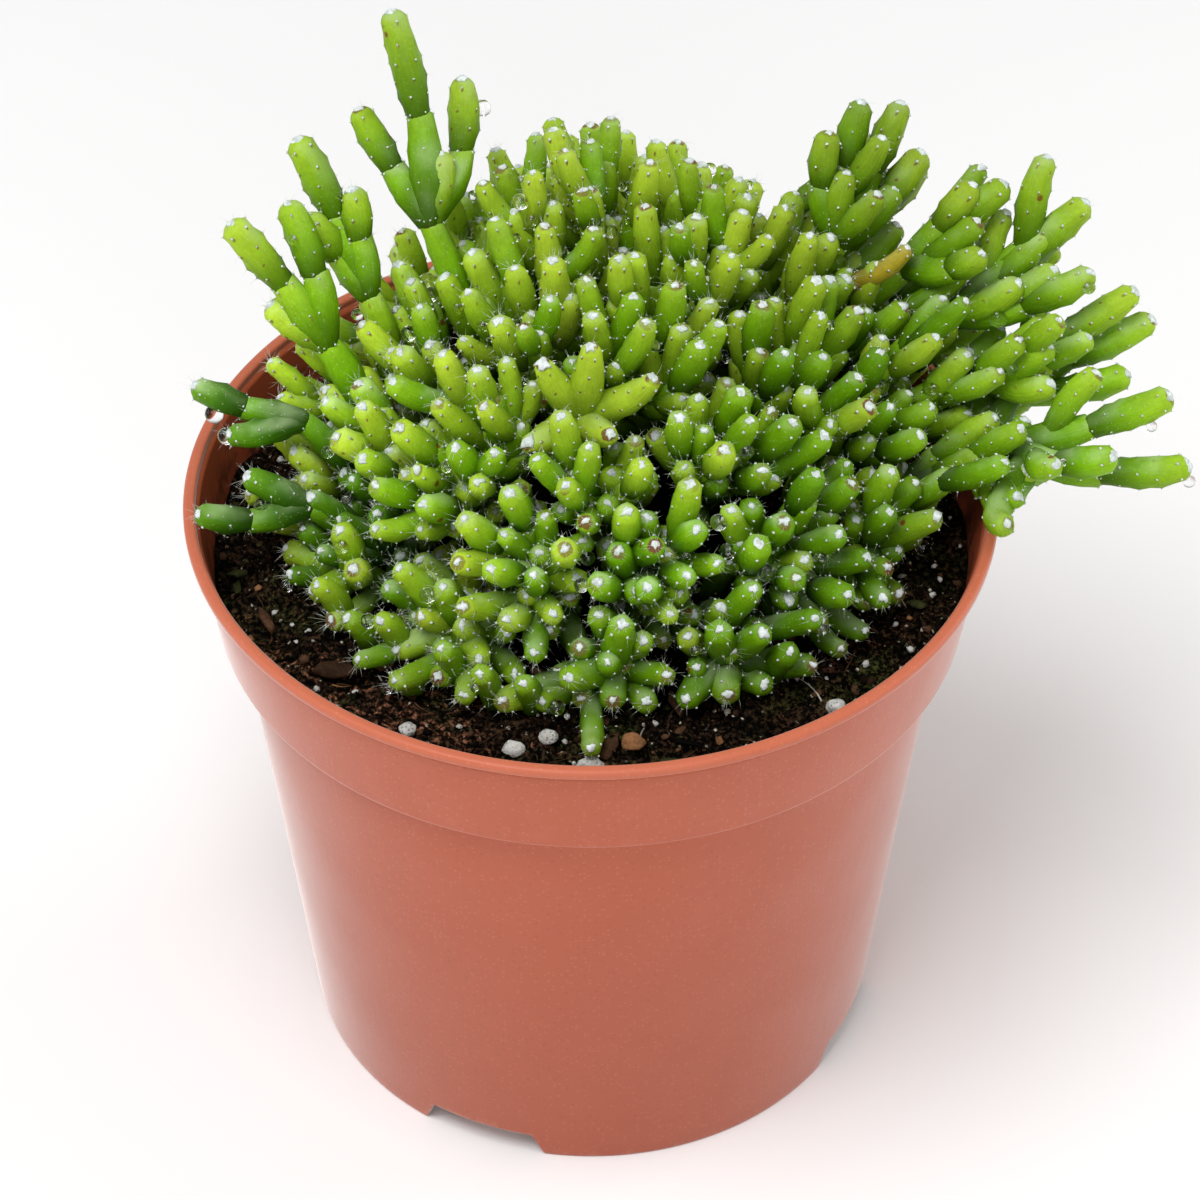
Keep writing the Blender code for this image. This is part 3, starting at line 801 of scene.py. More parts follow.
@dataclass(frozen=True)
class MixFinish(Finish):
    """Moist peat and composted bark."""

    name = "moist_mix"
    constants = {"Specular IOR Level": 0.03}
    dark: Colour = (0.0008, 0.0006, 0.0004)
    brown: Colour = (0.020, 0.011, 0.006)
    moss: Colour = (0.024, 0.029, 0.007)
    fibre: Colour = (0.110, 0.048, 0.026)
    grit: Colour = (0.34, 0.31, 0.25)

    def ends(self, g: Graph) -> dict[str, Value]:
        """Peat with moss, grit and matted fibre, in fine dark and light grains, with painted shade under the
        plant.
        """
        spot = g.place()
        peat = SHELF.use(
            g, Effect.MOTTLE, Vector=spot, Scale=170.0, Dark=self.dark, Light=self.brown, Contrast=0.5
        )
        moss = g.times(g.span(g.noise(spot, 75.0, 5.0), 0.50, 0.68), 0.6)
        base = g.blend(moss, peat["Colour"], self.moss)
        grit = SHELF.use(g, Effect.SPECKS, Vector=spot, Scale=780.0, Size=0.29, Share=0.26)["Mask"]
        base = g.blend(g.times(grit, 0.7), base, self.grit)
        strands = g.span(g.noise(g.drawn(spot, 260.0, 900.0, 900.0), 1.0, 5.0), 0.44, 0.60)
        patches = g.span(g.noise(spot, 62.0, 3.0), 0.50, 0.62)
        x, y, _ = g.parts(spot)
        near_left = g.span(g.plus(x, y), 0.0, -0.030, 0.25, 0.9)
        base = g.blend(g.times(patches, strands, near_left), base, self.fibre)
        fine = g.span(g.noise(spot, 1300.0, 4.0, 0.7), 0.45, 0.70, 0.08, 4.2)
        # Painted shade: the mix is darkened under the plant.
        base = g.dim(base, g.times(fine, g.span(g.carried("shade_under_plant"), 0.0, 1.0, 1.0, 0.15)))
        return {
            "Base Color": base,
            "Roughness": g.span(g.noise(spot, 240.0, 4.0), 0.35, 0.65, 0.42, 0.92),
            "Normal": g.bump(g.noise(spot, 620.0, 6.0, 0.7), 0.0009, 0.8),
        }


@dataclass(frozen=True)
class CrumbFinish(Finish):
    """Lumps of peat and bark, each with its own brown."""

    name = "bark_crumb"
    constants = {"Specular IOR Level": 0.05}
    dark: Colour = (0.0015, 0.0010, 0.0006)
    brown: Colour = (0.085, 0.042, 0.022)
    orange: Colour = (0.30, 0.14, 0.060)
    olive: Colour = (0.040, 0.044, 0.014)
    pale: Colour = (0.42, 0.39, 0.32)

    def ends(self, g: Graph) -> dict[str, Value]:
        """One colour for each range of the lump's own tone, mottled."""
        spot, tone = g.place(), g.carried("tone")
        base = g.blend(g.span(tone, 0.35, 0.9), self.dark, self.brown)
        base = g.blend(g.span(tone, 0.9, 0.93, 0.0, 0.8), base, self.orange)
        base = g.blend(g.math("LESS_THAN", tone, 0.16), base, self.olive)
        base = g.blend(g.math("GREATER_THAN", tone, 0.955), base, self.pale)
        mottle = SHELF.use(g, Effect.MOTTLE, Vector=spot, Scale=420.0, Contrast=0.3)["Value"]
        return {
            "Base Color": g.dim(base, g.span(mottle, 0.0, 1.0, 0.55, 1.35)),
            "Roughness": g.span(g.noise(spot, 330.0), 0.3, 0.7, 0.5, 0.9),
            "Normal": g.bump(g.noise(spot, 1500.0, 5.0, 0.7), 0.0004, 0.8),
        }


@dataclass(frozen=True)
class PerliteFinish(Finish):
    """White expanded mineral, full of small pits."""

    name = "perlite_grain"
    constants = {"Roughness": 0.95}
    white: Colour = (0.66, 0.66, 0.64)
    grey: Colour = (0.34, 0.33, 0.29)
    # Painted shade in the pits.
    pit: Colour = (0.10, 0.09, 0.07)

    def ends(self, g: Graph) -> dict[str, Value]:
        """White and grey, with pits that are sunk in and darkened as painted shade."""
        spot = g.place()
        body = SHELF.use(
            g, Effect.MOTTLE, Vector=spot, Scale=480.0, Dark=self.grey, Light=self.white, Contrast=0.2
        )
        pits = SHELF.use(g, Effect.SPECKS, Vector=spot, Scale=2300.0, Size=0.40, Share=0.5)["Mask"]
        return {
            "Base Color": g.blend(g.times(pits, 0.55), body["Colour"], self.pit),
            "Normal": g.bump(g.less(g.noise(spot, 1500.0, 4.0), pits), 0.00025, 0.8),
        }


@dataclass(frozen=True)
class FloorFinish(Finish):
    """Plain pale table."""

    name = "pale_table"
    constants = {"Roughness": 0.8, "Specular IOR Level": 0.2, "Base Color": (0.893, 0.893, 0.893)}


# ---------------------------------------------------------------- pot


@dataclass(frozen=True)
class PotForm:
    """Sizes of the pot."""

    rim_radius: float = 60.0 * MM
    rim_height: float = 98.6 * MM
    lip_width: float = 1.8 * MM
    lip_depth: float = 1.5 * MM
    lip_overhang: float = 1.4 * MM
    collar_height: float = 18.7 * MM
    collar_foot_radius: float = 56.0 * MM
    collar_step: float = 0.6 * MM
    body_top_radius: float = 52.9 * MM
    foot_radius: float = 44.1 * MM
    wall: float = 0.95 * MM
    skirt_height: float = 4.9 * MM
    base_thickness: float = 1.4 * MM

    @property
    def collar_foot(self) -> float:
        """Height of the collar's lower edge."""
        return self.rim_height - self.collar_height

    @property
    def collar_top_radius(self) -> float:
        """Outer radius of the collar just under the lip."""
        return self.rim_radius - self.lip_overhang

    @property
    def floor_top(self) -> float:
        """Height of the floor's upper side."""
        return self.skirt_height + self.base_thickness

    def body_radius(self, z: Value) -> Value:
        """Outer radius of the tapered body at height z: it grows evenly from foot to collar."""
        return self.foot_radius + (self.body_top_radius - self.foot_radius) * z / self.collar_foot

    def collar_inner_radius(self, z: Value) -> Value:
        """Inner radius of the collar at height z."""
        share = (z - self.collar_foot - self.wall) / (self.collar_height - self.wall - self.lip_depth)
        spread = self.collar_top_radius - self.collar_foot_radius
        return self.collar_foot_radius - self.wall + spread * share


def rounded(
    corners: list[tuple[float, float, float]],
    steps: int = 4,
    hold: float = 0.25 * MM,
    doubled: float = 1e-4 * MM,
    most: float = 0.45,
) -> Array:
    """Outline with rounded corners: each corner is a quadratic curve between two points set back
    along its sides, and a point just outside each end holds the flat shading.

    Args:
        corners: radius, height and corner size of each point.
        steps: points on each corner.
        hold: distance of the holding points from the curve.
        doubled: points closer than this to the one before are left out.
        most: largest share of a side that a corner may take.

    Returns:
        Points, shape (n, 2).
    """
    flat = np.array([c[:2] for c in corners])
    line = [flat[0]]
    t = np.linspace(0, 1, steps)[:, None]
    for k in range(1, len(corners) - 1):
        back, ahead = flat[k - 1] - flat[k], flat[k + 1] - flat[k]
        sizes = np.linalg.norm(back), np.linalg.norm(ahead)
        reach = min(corners[k][2], most * sizes[0], most * sizes[1])
        back, ahead = back / sizes[0], ahead / sizes[1]
        a, b = flat[k] + back * reach, flat[k] + ahead * reach
        curve = a * (1 - t) ** 2 + 2 * flat[k] * t * (1 - t) + b * t**2
        rest = min(sizes) / 2 - reach
        if rest > 0:
            curve = np.vstack((a + back * min(hold, rest), curve, b + ahead * min(hold, rest)))
        line.extend(curve)
    line.append(flat[-1])
    points = np.array(line)
    apart = np.linalg.norm(np.diff(points, axis=0), axis=1) > doubled
    return points[np.concatenate(([True], apart))]


@dataclass
class Pot:
    """The moulded pot: a wall turned from its outline, and a floor plate with drain holes."""

    form: PotForm = field(default_factory=PotForm)
    turns: int = 240
    notches: int = 4
    first_notch: float = math.radians(-112.5)
    notch_height: float = 4.5 * MM
    notch_bottom: float = 20.0 * MM
    notch_top: float = 16.5 * MM
    drain_holes: int = 6
    drain_radius: float = 3.4 * MM
    drain_circle: float = 27.0 * MM
    groove_drop: float = 1.35 * MM
    groove_depth: float = 0.10 * MM
    groove_reach: float = 0.45 * MM
    groove_flat: float = 0.08 * MM
    skirt_top: float = 6.5 * MM
    foot_edge: float = 0.15 * MM
    corner_softness: float = 0.012
    step_round: float = 0.35 * MM
    groove_round: float = 0.12 * MM
    inner_round: float = 0.30 * MM
    foot_wear: float = 2.2 * MM
    step_wear: float = 0.8 * MM

    def azimuths(self) -> Array:
        """Angles round the pot, closer together at the notches' sides."""
        side = np.linspace(self.notch_top / 2 - 0.5 * MM, self.notch_bottom / 2 + 0.5 * MM, 12)
        near = np.concatenate((side, -side)) / self.form.foot_radius
        centres = self.first_notch + TURN * np.arange(self.notches) / self.notches
        extra = (centres[:, None] + near).ravel() % TURN
        even = np.arange(self.turns) * TURN / self.turns
        clear = np.abs(even[:, None] - extra).min(axis=1) > 0.3 * TURN / self.turns
        return np.sort(np.concatenate((even[clear], extra)))

    def lower_edge(self, azimuth: Array) -> Array:
        """Height of the skirt's lower edge: 0 on the feet and the notch's height in a notch, with
        slanted sides whose two corners are softened.
        """
        centres = self.first_notch + TURN * np.arange(self.notches) / self.notches
        off = (azimuth[:, None] - centres + math.pi) % TURN - math.pi
        reach = np.abs(off).min(axis=1) * self.form.foot_radius
        t = (self.notch_bottom / 2 - reach) / ((self.notch_bottom - self.notch_top) / 2)
        soft = self.corner_softness
        eased = 0.5 * (np.sqrt(t**2 + soft) - np.sqrt((t - 1) ** 2 + soft) + 1)
        return self.notch_height * np.clip((eased - 0.004) / 0.992, 0.0, 1.0)

    def wall_surface(self) -> Surface:
        """The wall: its outline carried round the axis, with the skirt's rows lifted over the notches."""
        f, azimuth = self.form, self.azimuths()
        low = self.lower_edge(azimuth)
        lip_foot = f.rim_height - f.lip_depth
        groove_z = lip_foot - self.groove_drop
        slope = (f.collar_top_radius - f.collar_foot_radius) / (lip_foot - f.collar_foot)
        groove_r = f.collar_top_radius - slope * self.groove_drop
        up = [
            (f.body_radius(self.skirt_top), self.skirt_top, 0.0),
            (f.body_top_radius, f.collar_foot - f.collar_step, self.step_round),
            (f.collar_foot_radius, f.collar_foot, self.step_round),
            (groove_r - slope * self.groove_reach, groove_z - self.groove_reach, self.groove_round),
            (groove_r - self.groove_depth, groove_z - self.groove_flat, 0.05 * MM),
            (groove_r - self.groove_depth, groove_z + self.groove_flat, 0.05 * MM),
            (groove_r + slope * self.groove_reach, groove_z + self.groove_reach, self.groove_round),
            (f.collar_top_radius, lip_foot, 0.25 * MM),
            (f.rim_radius, lip_foot, 0.40 * MM),
            (f.rim_radius, f.rim_height, 0.70 * MM),
            (f.rim_radius - f.lip_width, f.rim_height, 0.55 * MM),
            (f.rim_radius - f.lip_width, lip_foot + 0.2 * MM, self.inner_round),
            (f.collar_top_radius - f.wall, lip_foot - 0.3 * MM, self.inner_round),
            (f.collar_foot_radius - f.wall, f.collar_foot + f.wall, self.inner_round),
            (f.body_top_radius - f.wall, f.collar_foot + f.wall - f.collar_step, self.inner_round),
            (f.body_radius(f.floor_top) - f.wall, f.floor_top, 0.0),
        ]
        outline = rounded(up)
        extra = np.linspace(outline[0], outline[1], 8)[1:-1]
        outline = np.vstack((outline[:1], extra, outline[1:]))
        upper = turned(outline[:, :1], outline[:, 1:], azimuth)
        share = np.array((0.0, 0.03, 0.10, 0.3, 0.6))[:, None]
        edge = np.array((self.foot_edge, self.foot_edge / 5, 0.0, 0.0, 0.0))[:, None]
        z_out = low + (self.skirt_top - low) * share
        skirt_out = turned(f.body_radius(z_out) - edge, z_out, azimuth)
        z_in = low + (f.skirt_height - low) * share[::-1]
        skirt_in = turned(f.body_radius(z_in) - f.wall + edge[::-1], z_in, azimuth)
        rings = np.concatenate((skirt_out, upper, skirt_in))
        z = rings[..., 2]
        first_inner = len(share) + int(np.argmax(outline[:, 1] >= f.rim_height - 1e-6)) + 4
        inside = np.repeat((np.arange(len(rings)) >= first_inner)[:, None], len(azimuth), axis=1)
        # The lip is marked for a painted highlight.
        on_lip = (z > lip_foot) & (from_axis(rings) > f.collar_top_radius - f.wall)
        near_foot = np.clip(1 - (z - low) / self.foot_wear, 0, 1)
        near_step = np.clip(1 - np.abs(z - f.collar_foot) / self.step_wear, 0, 1)
        values = {
            "inside": (inside & ~on_lip).astype(float),
            "lip": on_lip.astype(float),
            "foot": (near_foot + near_step * 0.4).clip(0, 1),
        }
        length = np.concatenate(([0], np.cumsum(np.linalg.norm(np.diff(rings[:, 0], axis=0), axis=1))))
        return Surface.of_rings(rings, length / 0.1, None, values)

    def floor_surface(self) -> Surface:
        """The floor plate, as one sector round each drain hole. In a sector, point(t, s) runs from
        the hole's circle at angle t to the sector's edge as s goes from 0 to 1, above and below.
        """
        f, half = self.form, math.pi / self.drain_holes
        z0, z1 = f.skirt_height, f.floor_top
        outer = f.body_radius(z0) - f.wall * 0.6
        centre = np.array((self.drain_circle, 0.0))
        corner = math.atan2(outer * math.sin(half), outer * math.cos(half) - self.drain_circle)
        angles = np.unique(np.concatenate((np.arange(-36, 36) * TURN / 72, (corner, -corner))))
        ray = spokes(angles)
        reach, tiny = np.full(len(angles), np.inf), 1e-9
        for sign in (1.0, -1.0):
            normal = np.array((-math.sin(half), sign * math.cos(half)))
            facing = ray @ normal
            way = -(centre @ normal) / np.maximum(facing, tiny)
            reach = np.where(facing > tiny, np.minimum(reach, way), reach)
        dot = ray @ centre
        reach = np.minimum(reach, -dot + np.sqrt(dot**2 - centre @ centre + outer**2))
        share = np.array((0.0, 0.02, 0.3, 0.65, 1.0))[:, None]
        r = self.drain_radius + (reach - self.drain_radius) * share
        flat = centre + r[..., None] * ray
        top = np.concatenate((flat, np.full((*r.shape, 1), z1)), axis=-1)
        bottom = np.concatenate((flat, np.full((*r.shape, 1), z0)), axis=-1)
        rings = np.concatenate((bottom[::-1], top))
        cell = Surface.of_rings(rings, np.linspace(0, 1, len(rings)), None)
        edge_row = (len(cell.quads) // len(angles)) - 1
        quads = cell.quads.reshape(edge_row + 1, len(angles), 4)
        on_arc = np.abs(np.linalg.norm(flat[-1], axis=1) - outer) < 1e-7
        keep = np.ones(quads.shape[:2], bool)
        keep[-1] = on_arc & np.roll(on_arc, -1)
        cell.quads = quads[keep][:, ::-1]
        cell.quad_uv = cell.quad_uv.reshape(edge_row + 1, len(angles), 4, 2)[keep][:, ::-1]
        turns = TURN * np.arange(self.drain_holes) / self.drain_holes
        frames = np.zeros((len(turns), 3, 3))
        frames[:, :2, 0], frames[:, :2, 1] = spokes(turns), spokes(turns + math.pi / 2)
        frames[:, 2, 2] = 1.0
        plate = cell.copies(np.zeros((len(turns), 3)), frames)
        plate.values = {
            "inside": (plate.points[:, 2] > (z0 + z1) / 2).astype(float),
            "lip": np.zeros(len(plate.points)),
            "foot": np.zeros(len(plate.points)),
        }
        return plate

    def build(self, workshop: Workshop) -> None:
        """Makes the pot and dresses it."""
        surface = Surface.join([self.wall_surface(), self.floor_surface()])
        shell = workshop.place("pot_shell", surface, PlasticFinish().build(), Slot.POT, ("pot",))
        shell.data.materials.append(PlasticFinish(sheen=0.0).build())
        inside = surface.values["inside"]
        dull = inside[surface.quads].min(axis=1).astype(np.int32)
        shell.data.polygons.foreach_set("material_index", dull)


# ---------------------------------------------------------------- potting mix and what lies on it


@dataclass
class Mix:
    """The potting mix with its uneven top, crumbs, bark, fibres and pale grains."""

    pot: PotForm
    level: float = 89.0 * MM
    edge_drop: float = 1.6 * MM
    flat_radius: float = 44.0 * MM
    turns: int = 280
    crumbs: int = 700
    fine_crumbs: int = 4800
    fibres: int = 150
    flakes: int = 90
    specks: int = 120
    seed: int = 21
    side_gap: float = 0.12 * MM
    hub: float = 2.0 * MM
    kept_inside: float = 57.2 * MM
    crumb_ring: tuple[float, float] = (22.0 * MM, 55.6 * MM)
    flake_ring: tuple[float, float] = (30.0 * MM, 53.0 * MM)
    fibre_ring: tuple[float, float] = (34.0 * MM, 54.0 * MM)
    fibre_radius: float = 0.13 * MM
    speck_ring: tuple[float, float] = (30.0 * MM, 55.0 * MM)
    speck_sizes: tuple[float, float] = (0.25, 0.8)
    speck_lift: float = 0.15 * MM
    flake_lift: float = 0.3 * MM
    fibre_lift: float = 0.2 * MM
    rough_from: float = 38.0 * MM
    grain_faces: int = 9
    grain_cut: float = 0.86
    grain_sunk: float = 0.25 * MM

    def height(self, radius: Array) -> Array:
        """Mean top of the mix: flat under the plant, sinking a little towards the wall."""
        edge = self.pot.collar_inner_radius(self.level) - GAP
        share = np.clip((radius - self.flat_radius) / (edge - self.flat_radius), 0.0, 1.0)
        return self.level - self.edge_drop * share

    def top(self, flat: Array) -> Array:
        """Height of the uneven top over places (x, y): the mean top with ripples of three sizes."""
        waves = ((0.60, 6.0 * MM, 3), (0.48, 2.4 * MM, 4), (0.34, 1.2 * MM, 5))
        rough = sum(rise * ripple(flat, size, seed) for rise, size, seed in waves)
        return self.height(np.linalg.norm(flat, axis=-1)) + rough * MM

    def surface(self) -> Surface:
        """The mix as one closed body: underside, sides a little clear of the pot, and the uneven top."""
        p = self.pot
        angle = np.arange(self.turns) * TURN / self.turns
        edge_z = self.level - self.edge_drop
        ledge_z = p.collar_foot + p.wall + GAP
        floor_z = p.floor_top + GAP
        edge = p.collar_inner_radius(edge_z) - self.side_gap
        side = rounded([
            (self.hub, floor_z, 0.0),
            (p.body_radius(floor_z) - p.wall - GAP, floor_z, 0.5 * MM),
            (p.body_top_radius - p.wall - GAP, ledge_z - p.collar_step, 0.3 * MM),
            (p.collar_inner_radius(ledge_z) - GAP, ledge_z, 0.3 * MM),
            (edge, edge_z - 2.5 * MM, 0.0),
        ], 3)
        seen = np.linspace(edge, self.rough_from, 46)
        radius = np.concatenate((seen, np.linspace(self.rough_from - 1 * MM, self.hub, 10)))
        top = self.top(radius[:, None, None] * spokes(angle))
        wall = turned(side[:, :1], side[:, 1:], angle)
        rings = np.concatenate((wall, turned(radius[:, None], top, angle)))
        poles = (np.array((0, 0, floor_z)), np.array((0, 0, self.top(np.zeros((1, 2)))[0])))
        # Share of painted shade under the plant: full up to 10 mm inside the flat middle's edge, none at and
        # beyond it.
        shade_under_plant = np.clip((self.flat_radius - from_axis(rings)) / (10 * MM), 0, 1)
        return Surface.of_rings(rings, np.linspace(0, 1, len(rings)), poles, {"shade_under_plant": shade_under_plant})

    def spots(self, count: int, rng: np.random.Generator, inner: float, outer: float) -> Array:
        """Random places on the top, shape (count, 3), evenly spread between two radii."""
        radius = np.sqrt(rng.uniform(inner**2, outer**2, count))
        flat = radius[:, None] * spokes(rng.uniform(0, TURN, count))
        return np.column_stack((flat, self.top(flat)))

    def lumps(
        self,
        places: Array,
        size: Array,
        rng: np.random.Generator,
        rough: float,
        base: Surface,
        pale: bool = True,
    ) -> Surface:
        """Rough lumps: a small ball whose points stray, stretched and turned at each place.

        Args:
            places: middle of each lump.
            size: its three half sizes.
            rng: random draws.
            rough: how far points stray, as a share of their distance from the middle.
            base: the ball.
            pale: whether some may be pale grit.

        Returns:
            The lumps as one surface, each with its tone.
        """
        count = len(places)
        up = unit(rng.normal(size=(count, 3)) * (0.5, 0.5, 0.2) + (0, 0, 1.0))
        tone = rng.uniform(0, 1.0 if pale else 0.9, count)
        lumps = base.copies(places, frames_along(up, rng.uniform(0, TURN, count), size), {"tone": tone})
        middle = np.repeat(places, len(base.points), axis=0)
        stray = 1 + rough * rng.uniform(-1, 1, (len(lumps.points), 1))
        lumps.points = middle + (lumps.points - middle) * stray
        return lumps

    def crumb_surface(self) -> Surface:
        """Crumbs of all sizes, and flatter flakes of bark among them."""
        rng = np.random.default_rng(self.seed)
        made, coarse = [], ball(5, 3)
        kinds = (self.crumbs, 0.30, 1.0, coarse), (self.fine_crumbs, 0.13, 0.36, ball(4, 1))
        for count, low, high, base in kinds:
            places = self.spots(count, rng, *self.crumb_ring)
            grade = rng.power(0.45, count)[:, None]
            stretch = rng.uniform((0.7, 0.6, 0.4), (1.3, 1.0, 0.9), (count, 3))
            size = (low + (high - low) * grade) * MM * stretch
            room = self.kept_inside - np.linalg.norm(places[:, :2], axis=1)
            made.append(self.lumps(places, np.minimum(size, 0.85 * room[:, None]), rng, 0.28, base))
        flakes = self.spots(self.flakes, rng, *self.flake_ring) + (0, 0, self.flake_lift)
        flake_size = rng.uniform((1.4, 0.8, 0.25), (3.2, 1.6, 0.6), (self.flakes, 3)) * MM
        return Surface.join([*made, self.lumps(flakes, flake_size, rng, 0.22, coarse, False)])

    def fibre_surface(self) -> Surface:
        """Root and peat fibres lying on the mix."""
        rng = np.random.default_rng(self.seed + 1)
        roots = self.spots(self.fibres, rng, *self.fibre_ring) + (0, 0, self.fibre_lift)
        angle = rng.uniform(0, TURN, self.fibres)
        inward = -unit(roots * (1, 1, 0))
        flat = np.stack((np.cos(angle), np.sin(angle), rng.uniform(0.0, 0.25, self.fibres)), axis=1)
        direction = unit(flat + 0.7 * inward)
        sag = rng.normal(size=(self.fibres, 3)) * (0.35, 0.35, 0.05) - (0, 0, 0.12)
        length = rng.uniform(3, 9, self.fibres) * MM
        strands = hairs(roots, direction, sag, length, self.fibre_radius, 6, 5)
        tone = rng.uniform(0.55, 1.0, self.fibres)
        strands.values = {"tone": np.repeat(tone, len(strands.points) // self.fibres)}
        return strands

    def grain_surface(self, node: str, seed: int) -> Surface:
        """A knobbly grain that fills the place of its solid: a ball whose radius is
        1 + ripples, cut by a few flat faces, and scaled to the solid's box.
        """
        low, high = (np.array(corner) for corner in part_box(node))
        grain = ball(26, 17)
        rng = np.random.default_rng(seed)
        spoke = grain.points
        radius = 1 + 0.13 * ripple(spoke, 0.9, seed) + 0.05 * ripple(spoke, 0.35, seed + 50)
        for normal in unit(rng.normal(size=(self.grain_faces, 3))):
            radius = np.minimum(radius, self.grain_cut / np.maximum(spoke @ normal, 0.5))
        points = spoke * radius[:, None]
        points = (points - points.min(axis=0)) / np.ptp(points, axis=0)
        grain.points = low + points * (high - low) * (1, 1, 1.04) - (0, 0, self.grain_sunk)
        grain.values = {"tone": np.full(len(points), 0.94 if node == "pebble" else 0.60)}
        return grain

    def build(self, workshop: Workshop, grains: list[str]) -> None:
        """Makes the mix and all that lies on it.

        Args:
            workshop: where pieces go.
            grains: CAD nodes of the larger grains.
        """
        crumb, perlite = CrumbFinish().build(), PerliteFinish().build()
        workshop.place("mix_body", self.surface(), MixFinish().build(), Slot.MIX, ("potting_mix",))
        workshop.place("mix_crumbs", self.crumb_surface(), crumb, Slot.MIX)
        workshop.place("mix_fibres", self.fibre_surface(), crumb, Slot.BARK)
        for k, node in enumerate(grains):
            surface = self.grain_surface(node, 40 + k)
            surface.points = surface.points - workshop.axis
            pale = node.startswith("perlite")
            finish, slot = (perlite, Slot.PERLITE) if pale else (crumb, Slot.BARK)
            workshop.place(f"{node}_grain", surface, finish, slot, (node,))
        rng, count = np.random.default_rng(self.seed + 2), self.specks
        spots = self.spots(count, rng, *self.speck_ring) + (0, 0, self.speck_lift)
        size = rng.uniform(*self.speck_sizes, (count, 1))
        size = size * rng.uniform((0.8, 0.7, 0.6), (1.2, 1.0, 0.9), (count, 3)) * MM
        specks = self.lumps(spots, size, rng, 0.25, ball(5, 3))
        workshop.place("perlite_specks", specks, perlite, Slot.PERLITE)


# ---------------------------------------------------------------- growth

# Freedom of a joint that doesn't move.
FIXED = (0.0, 0.0, 0.0)
# The shoots that stand out of the mound: root (x, y), fork and tips of each, in millimetres.
LONG_SHOOTS = {
    "tall_back": (
        (-14, 12), (-23, 21, 131), ((-29, 38, 157), (-19, 37, 146), (-34, 32, 144), (-22, 28, 139)),
    ),
    "back_left": ((-22, 16), (-32, 20, 119), ((-43, 30, 140), (-35, 26, 134), (-42, 23, 131))),
    "left_high": ((-26, 8), (-38, 12, 116), ((-52, 15, 136), (-44, 20, 136), (-47, 14, 122))),
    "left_over": ((-27, 0), (-42, 3, 108), ((-58, 5, 114), (-53, 0, 109))),
    "left_low": ((-28, -8), (-41, -8, 101), ((-57, -12, 104), (-50, -7, 107))),
    "right_low": ((27, 2), (60, -1, 107), ((84, 0, 116), (87, -5, 107), (75, -11, 114))),
    "right_mid": ((28, 10), (56, 10, 109), ((79, 10, 112), (83, 18, 116), (80, 17, 122))),
    "right_high": ((25, 18), (53, 20, 115), ((73, 15, 127), (73, 28, 130), (66, 30, 137))),
    "right_back": ((20, 24), (47, 24, 119), ((62, 28, 133), (56, 27, 134), (57, 17, 129))),
    "tall_right": (
        (14, 24), (36, 30, 121), ((40, 38, 141), (46, 39, 140), (49, 35, 134), (35, 33, 139)),
    ),
    "star": (
        (2, 4), (-2, -7, 116),
        ((-7, -8, 129), (0, -8, 132), (9, -9, 127), (2, -15, 121), (-9, -14, 119)),
    ),
}


